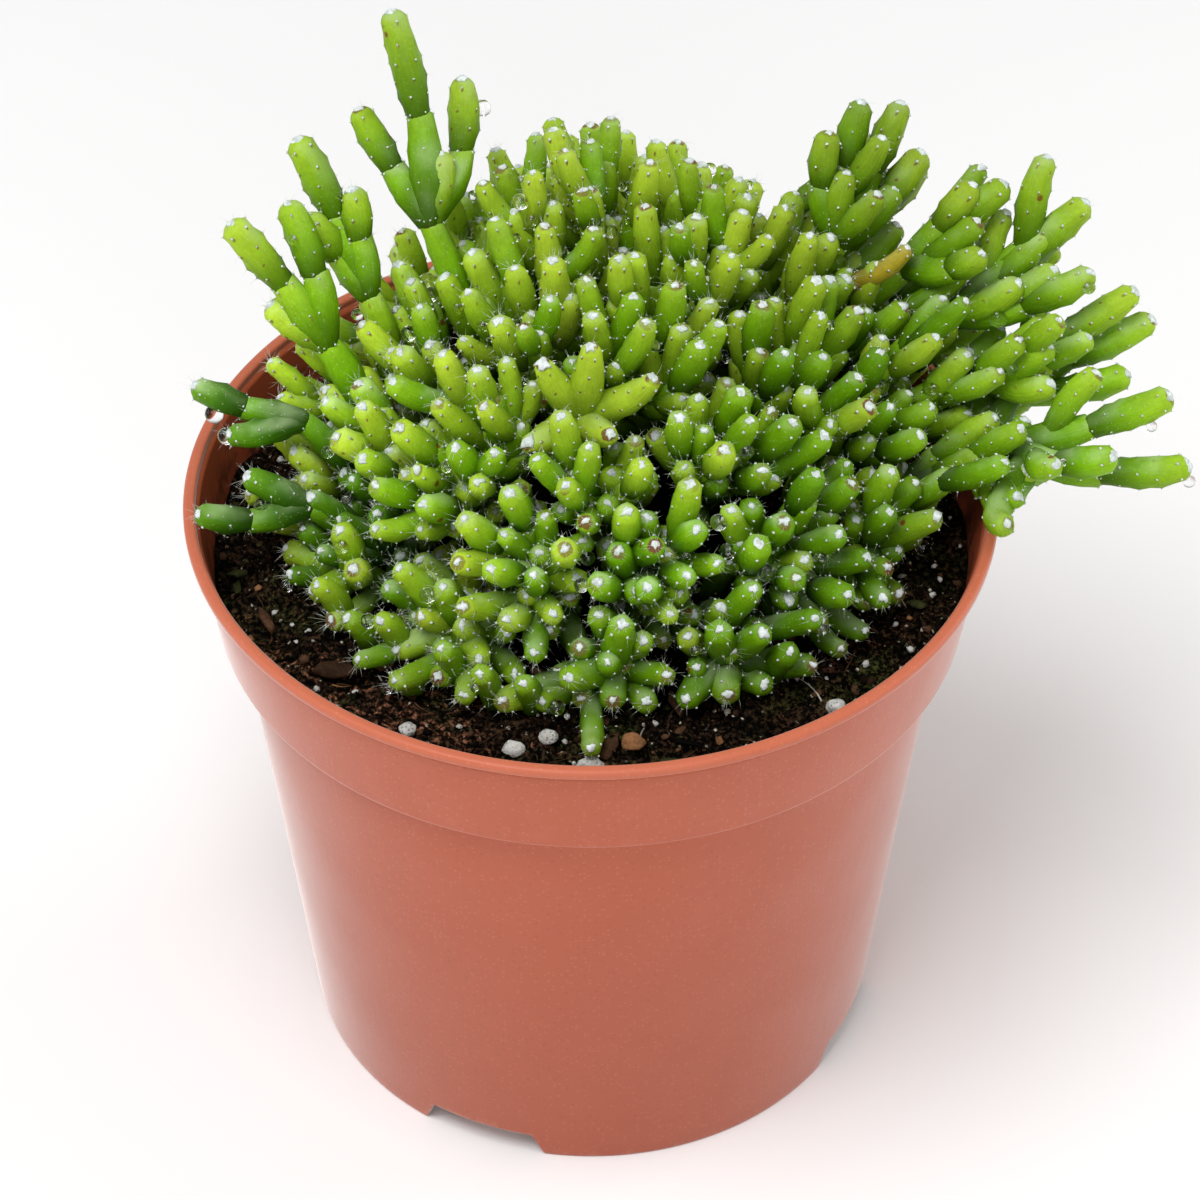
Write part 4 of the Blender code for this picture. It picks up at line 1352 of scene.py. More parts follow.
@dataclass(frozen=True)
class Crown:
    """The mound's outer surface and the rule that spreads tips over it."""

    pot: PotForm
    mix_level: float = 89.0 * MM
    heart: tuple[float, float, float] = (6.0 * MM, 14.0 * MM, 54.0 * MM)
    centre: tuple[float, float, float] = (6.0 * MM, 14.0 * MM, 74.0 * MM)
    reach_left: float = 58.0 * MM
    reach_right: float = 60.0 * MM
    reach_front: float = 62.0 * MM
    reach_back: float = 56.0 * MM
    reach_up: float = 61.0 * MM
    spacing: float = 7.6 * MM
    tries: int = 9000
    depths: tuple[float, float] = (0.95, 1.02)
    lowest_front_tip: float = 6.0 * MM
    rim_clearance: float = 6.0 * MM
    crest_heading: tuple[float, float, float] = (-0.17, 0.33, 0.93)
    crest_spread: float = 0.25
    crest_lift: float = 0.0
    low_front: float = 90.0 * MM
    low_side: float = 9.0 * MM

    def heading(self, point: Array) -> Array:
        """Unit vector from the heart of the plant to a point."""
        out = point - np.array(self.heart)
        return out / np.linalg.norm(out)

    def half_sizes(self, off: Array) -> Array:
        """Half sizes of the crown in the quarter that each offset from the centre points into."""
        x, y = off[..., 0], off[..., 1]
        return np.stack((
            np.where(x > 0, self.reach_right, self.reach_left),
            np.where(y > 0, self.reach_back, self.reach_front),
            np.full(x.shape, self.reach_up),
        ), axis=-1)

    def depth(self, points: Array) -> Array:
        """Share of the way from the centre to the crown's surface at which points lie."""
        off = points - np.array(self.centre)
        return np.linalg.norm(off / self.half_sizes(off), axis=-1)

    def surface(self, direction: Array) -> Array:
        """Where the crown's surface, an ellipsoid with unlike quarters, lies in a direction."""
        off = np.linalg.norm(direction - self.crest_heading) / self.crest_spread
        swell = 1 + self.crest_lift * math.exp(-0.5 * off**2)
        share = np.linalg.norm(direction / self.half_sizes(direction))
        return np.array(self.centre) + direction * swell / share

    def low_edge(self, points: Array) -> Array:
        """Furthest that tips stand from the pot's axis: least at the front, and more with height."""
        aside = np.abs(points[..., 0]) / np.maximum(from_axis(points), 1 * MM)
        return self.low_front + self.low_side * aside + (points[..., 2] - self.mix_level - 4 * MM).clip(0.0)

    def room_for_tip(self, point: Array) -> bool:
        """Whether a tip keeps clear of the mix and of the pot's rim."""
        if from_axis(point) > self.low_edge(point):
            return False
        front = point[1] < self.heart[1] - self.spacing
        lowest = self.mix_level + self.lowest_front_tip if front else self.pot.rim_height
        near_rim = from_axis(point) > self.pot.collar_foot_radius - self.rim_clearance
        return point[2] > lowest and not (near_rim and point[2] < self.pot.rim_height + self.rim_clearance)

    def throw_tips(
        self,
        rng: np.random.Generator,
        taken: Array,
        spacing: float,
        depths: tuple[float, float],
        forward: float = 0.0,
    ) -> Array:
        """Adds tips at random on the crown, none nearer than spacing to another.

        Args:
            rng: the random draws.
            taken: tips that are there already.
            spacing: least distance between tips.
            depths: lowest and highest share of the way from the centre to the surface.
            forward: how strongly the draws favour the front.

        Returns:
            The old tips, then the new.
        """
        centre = np.array(self.centre)
        for _ in range(self.tries):
            direction = rng.normal(size=3) - (0.0, forward, 0.0)
            direction /= np.linalg.norm(direction)
            point = centre + (self.surface(direction) - centre) * rng.uniform(*depths)
            if self.room_for_tip(point) and np.linalg.norm(taken - point, axis=1).min() >= spacing:
                taken = np.vstack((taken, point))
        return taken


@dataclass
class Skeleton:
    """Joints of all the shoots, the links between them, and each shoot's stems as joint numbers."""

    crown: Crown
    stem_radius: float = 2.55 * MM
    clearance: float = 0.9 * MM
    longest_link: float = 15.0 * MM
    longest_trunk: float = 20.0 * MM
    middle_joint_at: float = 0.47
    stem_bend: float = 0.4
    lowest_joint: float = 3.3 * MM
    rounds: int = 160
    watched: tuple[float, ...] = (0.1, 0.37, 0.63, 0.9)
    joints: list[Array] = field(default_factory=list)
    freedom: list[tuple[float, float, float]] = field(default_factory=list)
    links: list[tuple[int, int]] = field(default_factory=list)
    owners: list[str] = field(default_factory=list)
    stems: dict[str, list[list[int]]] = field(default_factory=dict)

    def add_joint(self, point: Array, freedom: tuple[float, float, float]) -> int:
        """Adds a joint and gives back its number."""
        self.joints.append(point)
        self.freedom.append(freedom)
        return len(self.joints) - 1

    def add_stem(self, name: str, numbers: list[int]) -> None:
        """Adds a stem of a shoot as a row of joints."""
        self.stems.setdefault(name, []).append(numbers)
        self.links += list(zip(numbers[:-1], numbers[1:]))
        self.owners += [name] * (len(numbers) - 1)

    def tip_numbers(self, without: tuple[str, ...] = ()) -> list[int]:
        """Joints at the tips, in order: the last of every stem but each shoot's trunk."""
        return [stem[-1] for name, stems in self.stems.items() if name not in without for stem in stems[1:]]

    def tip_points(self) -> Array:
        """Where the tips stand."""
        return np.array([self.joints[number] for number in self.tip_numbers()])

    def add_shoot(self, name: str, root: Array, fork: Array, tips: Array, tip_freedom: float) -> None:
        """Adds a trunk from root to fork, and a stem from the fork to each tip."""
        trunk = [self.add_joint(root, (0.5, 0.5, 0.0))]
        if np.linalg.norm(fork - root) > self.longest_trunk:
            trunk.append(self.add_joint((root + fork) / 2, (1.0, 1.0, 1.0)))
        trunk.append(self.add_joint(fork, (0.6, 0.6, 0.6)))
        self.add_stem(name, trunk)
        for tip in tips:
            stem = [trunk[-1]]
            length = np.linalg.norm(tip - fork)
            if length > self.longest_link:
                along = fork + (tip - fork) * self.middle_joint_at
                behind = tip - self.crown.heading(tip) * length / 2
                bent = along * (1 - self.stem_bend) + behind * self.stem_bend
                stem.append(self.add_joint(bent, (1.0, 1.0, 1.0)))
            stem.append(self.add_joint(tip, (tip_freedom,) * 3))
            self.add_stem(name, stem)

    def rim_lift(self, spots: Array) -> Array:
        """How far each spot has to rise to pass over the pot's rim with its stem clear of it."""
        pot = self.crown.pot
        passing = pot.rim_height + self.stem_radius + self.clearance
        within = pot.collar_inner_radius(self.crown.mix_level) - self.stem_radius - self.clearance
        return np.where(from_axis(spots) > within, passing - spots[..., 2], 0.0).clip(0.0)

    def ease_apart(self, rounds: int | None = None, at: tuple[float, ...] | None = None) -> None:
        """Pushes the links of different shoots aside until they clear each other.

        Args:
            rounds: how often, or None for the usual number; with a number, only pairs in which
                a link can move are watched.
            at: the watched places on each link, or None for the usual ones.
        """
        joints, freedom = np.array(self.joints), np.array(self.freedom)
        links, owners = np.array(self.links), np.array(self.owners)
        watched = np.array(at or self.watched)
        middles = joints[links].mean(axis=1)
        near = np.linalg.norm(middles[:, None] - middles, axis=2) < 2 * self.longest_link
        first, second = np.nonzero(np.triu(near & (owners[:, None] != owners)))
        if rounds is not None:
            moving = (freedom[links] > 0).any(axis=(1, 2))
            kept = moving[first] | moving[second]
            first, second = first[kept], second[kept]
        wanted = 2 * self.stem_radius + self.clearance
        for _ in range(rounds or self.rounds):
            starts, ends = joints[links[:, 0]], joints[links[:, 1]]
            spots = starts[:, None] + (ends - starts)[:, None] * watched[None, :, None]
            away = spots[first][:, :, None] - spots[second][:, None]
            apart = np.linalg.norm(away, axis=3)
            short = (wanted - apart).clip(0.0)
            push = away * (short / apart / 2)[..., None]
            total, count = np.zeros_like(joints), np.zeros(len(joints))
            ends = ((0, 1 - watched), (1, watched))
            for end, weight in ends:
                for side, share, sign in ((first, weight[:, None], 1), (second, weight[None, :], -1)):
                    np.add.at(total, links[side, end], sign * (push * share[..., None]).sum(axis=(1, 2)))
                    np.add.at(count, links[side, end], ((short > 0) * share).sum(axis=(1, 2)))
            lift = self.rim_lift(spots)
            for end, weight in ends:
                np.add.at(total[:, 2], links[:, end], (lift * weight).sum(axis=1))
                np.add.at(count, links[:, end], ((lift > 0) * weight).sum(axis=1))
            joints += freedom * total / np.maximum(count, 1.0)[:, None]
            free = freedom[:, 2] > 0
            joints[free, 2] = joints[free, 2].clip(self.crown.mix_level + self.lowest_joint, None)
        self.joints = list(joints)


@dataclass
class Growth:
    """Grows the skeleton as the solids do, and then short stems in the room between."""

    crown: Crown
    seed: int = 13
    bushes: int = 34
    root_spread: float = 45.0 * MM
    branch_length: float = 24.0 * MM
    lowest_fork: float = 3.6 * MM
    earliest_fork: float = 0.45
    gather_rounds: int = 12
    placed_tip_freedom: float = 0.15
    tip_freedom: float = 0.6
    stem_freedom: float = 0.6
    fill_seed: int = 3
    # Each layer: room between tips, lowest and highest depth, length of its stems, pull forward.
    fill_layers: tuple[tuple[float, float, float, float, float], ...] = (
        (5.3 * MM, 0.86, 1.0, 12.5 * MM, 0.0),
        (5.2 * MM, 0.84, 1.0, 11.0 * MM, 1.2),
        (5.0 * MM, 0.74, 0.90, 11.0 * MM, 1.6),
        (5.4 * MM, 0.66, 0.84, 11.0 * MM, 0.5),
    )
    star_room: float = 6.5 * MM
    star_gap: float = 4.1 * MM
    hanging_tips: tuple[tuple[float, float, float], ...] = ((0, -49.5, 92.8), (-28, -37.5, 94.5))
    early_tips: tuple[tuple[float, float, float], ...] = (
        (-47, 12, 112), (-42.5, 16, 113), (-45, 10, 107.5), (-44.5, 4, 104), (-48.5, -6, 103),
        (-42, -7, 101.5), (-9.5, -7.5, 117.5), (4.5, -10.5, 119), (19, -3, 122), (26.5, -14, 112.5),
        (-23.5, -17.5, 106.5), (34, -28.5, 98), (20.5, -37, 97),
    )
    early_length: float = 12.0 * MM
    hanging_length: float = 13.0 * MM
    crest_lift: float = 0.155
    lowest_front_tip: float = 2.6 * MM
    low_front: float = 39.5 * MM
    aim_weight: float = 14 * MM
    side_room: float = 5.2 * MM
    side_tries: int = 16
    side_aim: float = 0.9935
    side_reach: tuple[float, float] = (10, 14)
    over_rim: float = 5.0 * MM
    rim_reach: float = 50.0 * MM
    side_within: float = 3.5 * MM
    side_top: float = 131 * MM
    tall_side_from: float = 37 * MM
    ground_tries: int = 2500
    ground_angles: tuple[float, float] = (-3.05, -0.10)
    ground_radii: tuple[float, float] = (28, 46)
    ground_heights: tuple[float, float] = (5.0, 10.0)
    ground_room: float = 4.8 * MM
    root_lean: float = 5.5 * MM
    root_depth: float = 1.0 * MM
    tip_room: float = 5.7 * MM
    front_room: float = 0.9 * MM
    front_from: float = 12 * MM
    front_over: float = 20 * MM
    spread_rounds: int = 25
    spread_pull: float = 0.4
    spread_step: float = 1.0 * MM
    tip_lift: float = 4.4 * MM
    settle_at: tuple[float, float] = (0.45, 0.95)
    settle_rounds: int = 24

    def gather(self, points: Array) -> list[Array]:
        """Sorts points into groups of neighbours, one for each bush."""
        centres = [points[0]]
        while len(centres) < self.bushes:
            apart = np.linalg.norm(points[:, None] - np.array(centres), axis=2).min(axis=1)
            centres.append(points[np.argmax(apart)])
        centres = np.array(centres)
        for _ in range(self.gather_rounds):
            nearest = np.linalg.norm(points[:, None] - centres, axis=2).argmin(axis=1)
            centres = np.array([points[nearest == k].mean(axis=0) for k in range(self.bushes)])
        return [points[nearest == k] for k in range(self.bushes)]

    def plan_bush(self, tips: Array) -> tuple[Array, Array, Array]:
        """Root and fork of a shoot that ends in these tips, and the tips."""
        heart, level = np.array(self.crown.heart), self.crown.mix_level
        middle = tips.mean(axis=0)
        out = self.crown.heading(middle)
        flat = out[:2] * (level - heart[2]) / out[2]
        flat *= min(1.0, self.root_spread / np.linalg.norm(flat))
        root = np.array((*(heart[:2] + flat), level + GAP))
        share = max(1 - self.branch_length / np.linalg.norm(middle - root), self.earliest_fork)
        fork = root + (middle - root) * share
        fork[2] = max(fork[2], level + self.lowest_fork)
        return root, fork, tips

    def grow(self) -> Skeleton:
        """Plans all the shoots and eases them apart."""
        skeleton, level = Skeleton(self.crown), self.crown.mix_level
        shoots = {}
        for name, (root, fork, tips) in LONG_SHOOTS.items():
            foot = np.array((root[0] * MM, root[1] * MM, level + GAP))
            shoots[f"shoot_{name}"] = (foot, np.array(fork) * MM, np.array(tips) * MM)
        placed = np.vstack([tips for _, _, tips in shoots.values()])
        c = self.crown
        all_tips = c.throw_tips(np.random.default_rng(self.seed), placed, c.spacing, c.depths)
        for k, tips in enumerate(self.gather(all_tips[len(placed):])):
            shoots[f"shoot_{k + 1:02d}"] = self.plan_bush(tips)
        for name, (root, fork, tips) in shoots.items():
            long = name.removeprefix("shoot_") in LONG_SHOOTS
            freedom = self.placed_tip_freedom if long else self.tip_freedom
            skeleton.add_shoot(name, root, fork, tips, freedom)
        skeleton.ease_apart()
        return skeleton

    def add_fill(self, skeleton: Skeleton, tips: Array, length: float) -> list[int]:
        """Adds a short stem for each tip, from the place on a link that best fits its length and
        heading. The star keeps the stems it grew.

        Args:
            skeleton: the skeleton.
            tips: where the new stems end.
            length: length that they should have.

        Returns:
            Joints of the new tips.
        """
        owners = np.array(skeleton.owners)
        joints, links = np.array(skeleton.joints), np.array(skeleton.links)[owners != "shoot_star"]
        share = np.linspace(0.1, 0.7, 7)
        starts, ends = joints[links[:, 0]][:, None], joints[links[:, 1]][:, None]
        spots = (starts + (ends - starts) * share[None, :, None]).reshape(-1, 3)
        owners = np.repeat(owners[owners != "shoot_star"], len(share))
        numbers = []
        for tip in tips:
            away = tip - spots
            reach = np.linalg.norm(away, axis=1)
            aim = unit(away) @ self.crown.heading(tip)
            best = int(np.argmin(np.abs(reach - length) + self.aim_weight * (1 - aim)))
            base = skeleton.add_joint(spots[best], FIXED)
            numbers.append(skeleton.add_joint(tip, (self.stem_freedom,) * 3))
            skeleton.add_stem(str(owners[best]), [base, numbers[-1]])
        return numbers

    def ground_stems(self, skeleton: Skeleton, crown: Crown, rng: np.random.Generator) -> Array:
        """Adds short stems that rise from the mix and lean outwards, between the front shoots.

        Args:
            skeleton: the skeleton.
            crown: the crown with its low edge.
            rng: random draws.

        Returns:
            Joints at the foot and the tip of each, shape (n, 2).
        """
        tips = skeleton.tip_points()
        joints, links = np.array(skeleton.joints), np.array(skeleton.links)
        middles, made = joints[links].mean(axis=1), []
        for _ in range(self.ground_tries):
            angle, radius = rng.uniform(*self.ground_angles), rng.uniform(*self.ground_radii) * MM
            out = np.array((math.cos(angle), math.sin(angle), 0.0))
            tip = out * radius + (0, 0, self.crown.mix_level + rng.uniform(*self.ground_heights) * MM)
            if np.linalg.norm(tips - tip, axis=1).min() < self.ground_room or radius > crown.low_edge(tip):
                continue
            tips = np.vstack((tips, tip))
            owner = skeleton.owners[int(np.argmin(np.linalg.norm(middles - tip, axis=1)))]
            made.append((skeleton.add_joint(tip, FIXED), skeleton.add_joint(tip, (0.5, 0.5, 0.2))))
            skeleton.add_stem(owner, list(made[-1]))
        return np.array(made)

    def root_stems(self, skeleton: Skeleton, pairs: Array) -> None:
        """Puts the foot of each ground stem in the mix, a little nearer the pot's axis than its tip."""
        for foot, tip in pairs:
            end = skeleton.joints[tip]
            place = end * (1 - self.root_lean / np.linalg.norm(end[:2]))
            place[2] = self.crown.mix_level - self.root_depth
            skeleton.joints[foot] = place

    def spread_tips(self, skeleton: Skeleton, crown: Crown, numbers: list[int]) -> None:
        """Slides tips along the crown, away from any tip nearer than the room they need.

        The new tips move freely, and those that grew on the bushes by half as much. None sinks
        into the mix.

        Args:
            skeleton: the skeleton.
            crown: the crown with its low edge.
            numbers: joints of the new tips.
        """
        joints = np.array(skeleton.joints)
        placed = tuple(f"shoot_{name}" for name in LONG_SHOOTS)
        ends, bush = np.array(skeleton.tip_numbers()), skeleton.tip_numbers(placed)
        free = np.where(np.isin(ends, numbers), 1.0, np.where(np.isin(ends, bush), 0.5, 0.0))[:, None]
        out = unit(joints[ends] - np.array(self.crown.heart))
        front = np.clip(-(joints[ends, 1] + self.front_from) / self.front_over, 0, 1)[:, None]
        room = self.tip_room + self.front_room * front
        for _ in range(self.spread_rounds):
            away = joints[ends][:, None] - joints[ends]
            apart = np.linalg.norm(away, axis=2)
            short = np.where(apart > 0, room - apart, 0.0).clip(0.0)
            push = (away * (short / np.maximum(apart, 0.1 * MM))[..., None]).sum(axis=1) * self.spread_pull
            push -= (push * out).sum(axis=1)[:, None] * out
            joints[ends] += push.clip(-self.spread_step, self.spread_step) * free
            flat = joints[ends, :2]
            reach = np.linalg.norm(flat, axis=1, keepdims=True)
            most = crown.low_edge(joints[ends])[:, None]
            held = flat * np.minimum(1.0, most / reach)
            joints[ends, :2] = np.where(free > 0, held, flat)
            lifted = joints[ends, 2].clip(self.crown.mix_level + self.tip_lift, None)
            joints[ends, 2] = np.where(free[:, 0] > 0, lifted, joints[ends, 2])
        skeleton.joints = list(joints)

    def side_tips(self, skeleton: Skeleton, rng: np.random.Generator) -> Array:
        """Tips of side stems for the long shoots, thrown about each link and kept where there is room."""
        joints = np.array(skeleton.joints)
        taken, made = skeleton.tip_points(), []
        pot, heart = self.crown.pot, np.array(self.crown.heart)
        ends = np.array([tip for _, _, tips in LONG_SHOOTS.values() for tip in tips]) * MM - heart
        reach, ways = np.linalg.norm(ends, axis=1), unit(ends)
        for (a, b), owner in zip(list(skeleton.links), list(skeleton.owners)):
            name = owner.removeprefix("shoot_")
            if not name.startswith("right") and name != "tall_right":
                continue
            for _ in range(self.side_tries):
                along = unit(joints[b] - joints[a])
                lean = unit(0.9 * along + 0.55 * rng.normal(size=3) + (0, 0, 0.12))
                spot = joints[a] + (joints[b] - joints[a]) * rng.uniform(0.2, 0.8)
                tip = spot + lean * rng.uniform(*self.side_reach) * MM
                low = tip[2] < pot.rim_height + self.over_rim and from_axis(tip) > self.rim_reach
                near = int(np.argmax(ways @ self.crown.heading(tip)))
                within = ways[near] @ self.crown.heading(tip) > self.side_aim
                within &= np.linalg.norm(tip - heart) < reach[near] - self.side_within
                within &= tip[0] > self.tall_side_from if name == "tall_right" else tip[2] < self.side_top
                if within and not low and np.linalg.norm(taken - tip, axis=1).min() > self.side_room:
                    taken = np.vstack((taken, tip))
                    made.append(tip)
        return np.array(made)

    def fill(self, skeleton: Skeleton) -> list[int]:
        """Adds short side stems in the room between the grown ones: near the crown's surface, then
        deeper, then beside the long shoots.

        Args:
            skeleton: the grown skeleton, which gets the new stems.

        Returns:
            The numbers of the new tips' joints.
        """
        rng = np.random.default_rng(self.fill_seed)
        crest = replace(
            self.crown,
            crest_lift=self.crest_lift,
            lowest_front_tip=self.lowest_front_tip,
            low_front=self.low_front,
        )
        star = np.array([skeleton.joints[stem[-1]] for stem in skeleton.stems["shoot_star"][1:]])
        skeleton.freedom = [FIXED] * len(skeleton.joints)
        numbers = self.add_fill(skeleton, np.array(self.early_tips) * MM, self.early_length)
        for spacing, low, high, length, forward in self.fill_layers:
            tips = skeleton.tip_points()
            added = crest.throw_tips(rng, tips, spacing, (low, high), forward)[len(tips):]
            clear = np.linalg.norm(added[:, None] - star, axis=2).min(axis=1) > self.star_room
            numbers += self.add_fill(skeleton, added[clear], length)
        numbers += self.add_fill(skeleton, self.side_tips(skeleton, rng), self.early_length)
        pairs = self.ground_stems(skeleton, crest, rng)
        numbers += pairs[:, 1].tolist()
        self.spread_tips(skeleton, crest, numbers)
        self.root_stems(skeleton, pairs)
        skeleton.ease_apart(self.settle_rounds, self.settle_at)
        self.spread_tips(skeleton, crest, numbers)
        self.root_stems(skeleton, pairs)
        self.clear_star(skeleton, numbers)
        return numbers + self.add_fill(skeleton, np.array(self.hanging_tips) * MM, self.hanging_length)

    def clear_star(self, skeleton: Skeleton, numbers: list[int]) -> None:
        """Takes out the new stems that would run through the star's arms."""
        joints, share = np.array(skeleton.joints), np.linspace(0, 1, 9)[:, None]
        arms = [(joints[stem[0]], joints[stem[-1]]) for stem in skeleton.stems["shoot_star"][1:]]
        arms = np.concatenate([start + (end - start) * share for start, end in arms])
        new = set(numbers)

        def clear(stem: list[int]) -> bool:
            """Whether the outer part of a stem's last link keeps clear of the arms."""
            start, end = joints[stem[-2]], joints[stem[-1]]
            spots = start + (end - start) * (0.4 + 0.6 * share)
            return np.linalg.norm(spots[:, None] - arms, axis=2).min() > self.star_gap

        for name, stems in skeleton.stems.items():
            skeleton.stems[name] = [stem for stem in stems if stem[-1] not in new or clear(stem)]


# ---------------------------------------------------------------- stems


@dataclass(frozen=True)
class Link:
    """One jointed length of stem."""

    kind: LinkKind
    start: Array
    end: Array
    leave: Array
    arrive: Array
    radius: float
    spin: float
    tint: float
    ring: float
    bristle: float
    taper: float
    withered: float = 0.0
    coarse: bool = False
    belly: float = 0.55


@dataclass(frozen=True)
class Areole:
    """Where a tuft of wool sits: its place, the way it faces, and its link's values."""

    place: Array
    normal: Array
    along: float
    link: Link


def gathered(areoles: list[Areole]) -> tuple[Array, Array]:
    """Places and normals of areoles."""
    return np.array([a.place for a in areoles]), np.array([a.normal for a in areoles])


@dataclass
class LinkForm:
    """Turns a link into its skin: rings carried along a bent spine, with a low rise at each areole."""

    sides: int = 15
    lanes: int = 5
    row_spacing: float = 2.45 * MM
    coarse_spacing: float = 1.5
    rise: float = 0.095
    bristle_rise: float = 0.05
    hollow: float = 0.012
    neck: float = 0.60
    cap_size: float = 0.62
    heel_size: float = 0.4
    longest_cap: float = 0.3
    longest_heel: float = 0.2
    after_heel: float = 0.04
    into_cap: float = 0.62
    least_step: float = 0.004
    cap_reach: float = 3.0 * MM
    pole_rise: float = 0.02
    bare_share: float = 0.4
    cap_power: float = 2.8
    pull: float = 1.35
    coarse_pull: float = 1.0

    def stations(self, link: Link, length: float) -> tuple[Array, Array, Array]:
        """Rings of a link.

        The radius share swells from the neck to the belly and falls to the tip as squares of the
        way from the belly, and closes at both ends as (1 - x^p)^(1/p), where x is how far into
        the cap a ring lies.

        Args:
            link: the link.
            length: its length.

        Returns:
            Share of the way, share of the radius, and row number of each ring.
        """
        cap = min(self.cap_size * link.radius / length, self.longest_cap)
        heel = min(self.heel_size * link.radius / length, self.longest_heel)
        spacing = self.row_spacing * (self.coarse_spacing if link.coarse else 1.0)
        rows = max(3, round(length * (1 - cap - heel) / spacing))
        body = np.linspace(heel + self.after_heel, 1 - cap * self.into_cap, 2 * rows - 1)
        x_start = np.array((0.92, 0.5))
        x_end = np.array((0.66, 0.93)) if link.coarse else np.array((0.60, 0.78, 0.91, 0.985))
        s = np.concatenate((heel * (1 - x_start), body, 1 - cap + cap * x_end))
        keep = np.concatenate(([True], np.diff(s) > self.least_step))
        rise = 1 - (1 - self.neck) * (np.clip(link.belly - s, 0, 1) / link.belly) ** 2
        fall = 1 - (1 - link.taper) * (np.clip(s - link.belly, 0, 1) / (1 - link.belly)) ** 2
        start_x = np.clip((heel - s) / heel, 0, 1)
        end_x = np.clip((s - (1 - cap)) / cap, 0, 1)
        closing = (1 - start_x**2.0) ** 0.5 * (1 - end_x**self.cap_power) ** (1 / self.cap_power)
        share = rise * fall * closing
        row = (s - body[0]) / (body[-1] - body[0]) * (rows - 1)
        return s[keep], share[keep], row[keep]

    def skin(self, link: Link) -> tuple[Surface, list[Areole]]:
        """The link's surface and its areoles.

        The spine is a Hermite curve. A ring's point is spine + radius (cos turn side + sin turn up),
        with radius = R x share x (1 + rise where row and lane are whole).

        Args:
            link: the link.

        Returns:
            The surface, and the areoles on its visible part.
        """
        chord = link.end - link.start
        length = float(np.linalg.norm(chord))
        s, share, row = self.stations(link, length)
        t = s[:, None]
        h = (2 * t**3 - 3 * t**2 + 1, t**3 - 2 * t**2 + t, -2 * t**3 + 3 * t**2, t**3 - t**2)
        d = (6 * t**2 - 6 * t, 3 * t**2 - 4 * t + 1, -6 * t**2 + 6 * t, 3 * t**2 - 2 * t)
        pull = self.coarse_pull if link.coarse else self.pull
        ends = (link.start, link.leave * length, link.end, link.arrive * length * pull)
        spine = sum(a * b for a, b in zip(h, ends))
        forward = unit(sum(a * b for a, b in zip(d, ends)))
        guide = across(unit(chord))[0]
        side = unit(guide - (forward @ guide)[:, None] * forward)
        up = np.cross(forward, side)
        step = np.arange(self.sides) / self.sides
        turn, near = link.spin + step * TURN, 0.01
        lane = self.lanes * step[None] - row[:, None] / 3
        near_lane = np.abs(lane - np.round(lane)) < near
        near_row = (np.abs(row - np.round(row)) < near)[:, None]
        on = near_lane & near_row & (row[:, None] > -near) & (share[:, None] > self.bare_share)
        valley = ~near_row & ~near_lane
        wave = 1 + (self.rise + self.bristle_rise * link.bristle) * on - self.hollow * valley
        radius = link.radius * share[:, None] * wave
        spoke = np.cos(turn)[None, :, None] * side[:, None] + np.sin(turn)[None, :, None] * up[:, None]
        rings = spine[:, None] + spoke * radius[..., None]
        poles = (link.start, spine[-1] + forward[-1] * link.radius * self.pole_rise)
        full = np.ones((len(s), self.sides))
        reach = np.linalg.norm(rings - poles[1], axis=2)
        values = {
            "along": s[:, None] * full, "tint": link.tint * full, "ring": link.ring * full,
            "cap": np.clip(1 - reach / self.cap_reach, 0, 1), "withered": link.withered * full,
        }
        surface = Surface.of_rings(rings, row, poles, values)
        surface.tri_uv[..., 1] = np.round(surface.tri_uv[..., 1]) + 0.5
        rows, places = np.nonzero(on)
        lean = np.where(s > 0.8, 0.9, 0.15)[:, None] * forward
        facing = unit(spoke[rows, places] + lean[rows])
        found = [Areole(rings[i, j], way, float(s[i]), link) for i, j, way in zip(rows, places, facing)]
        return surface, found


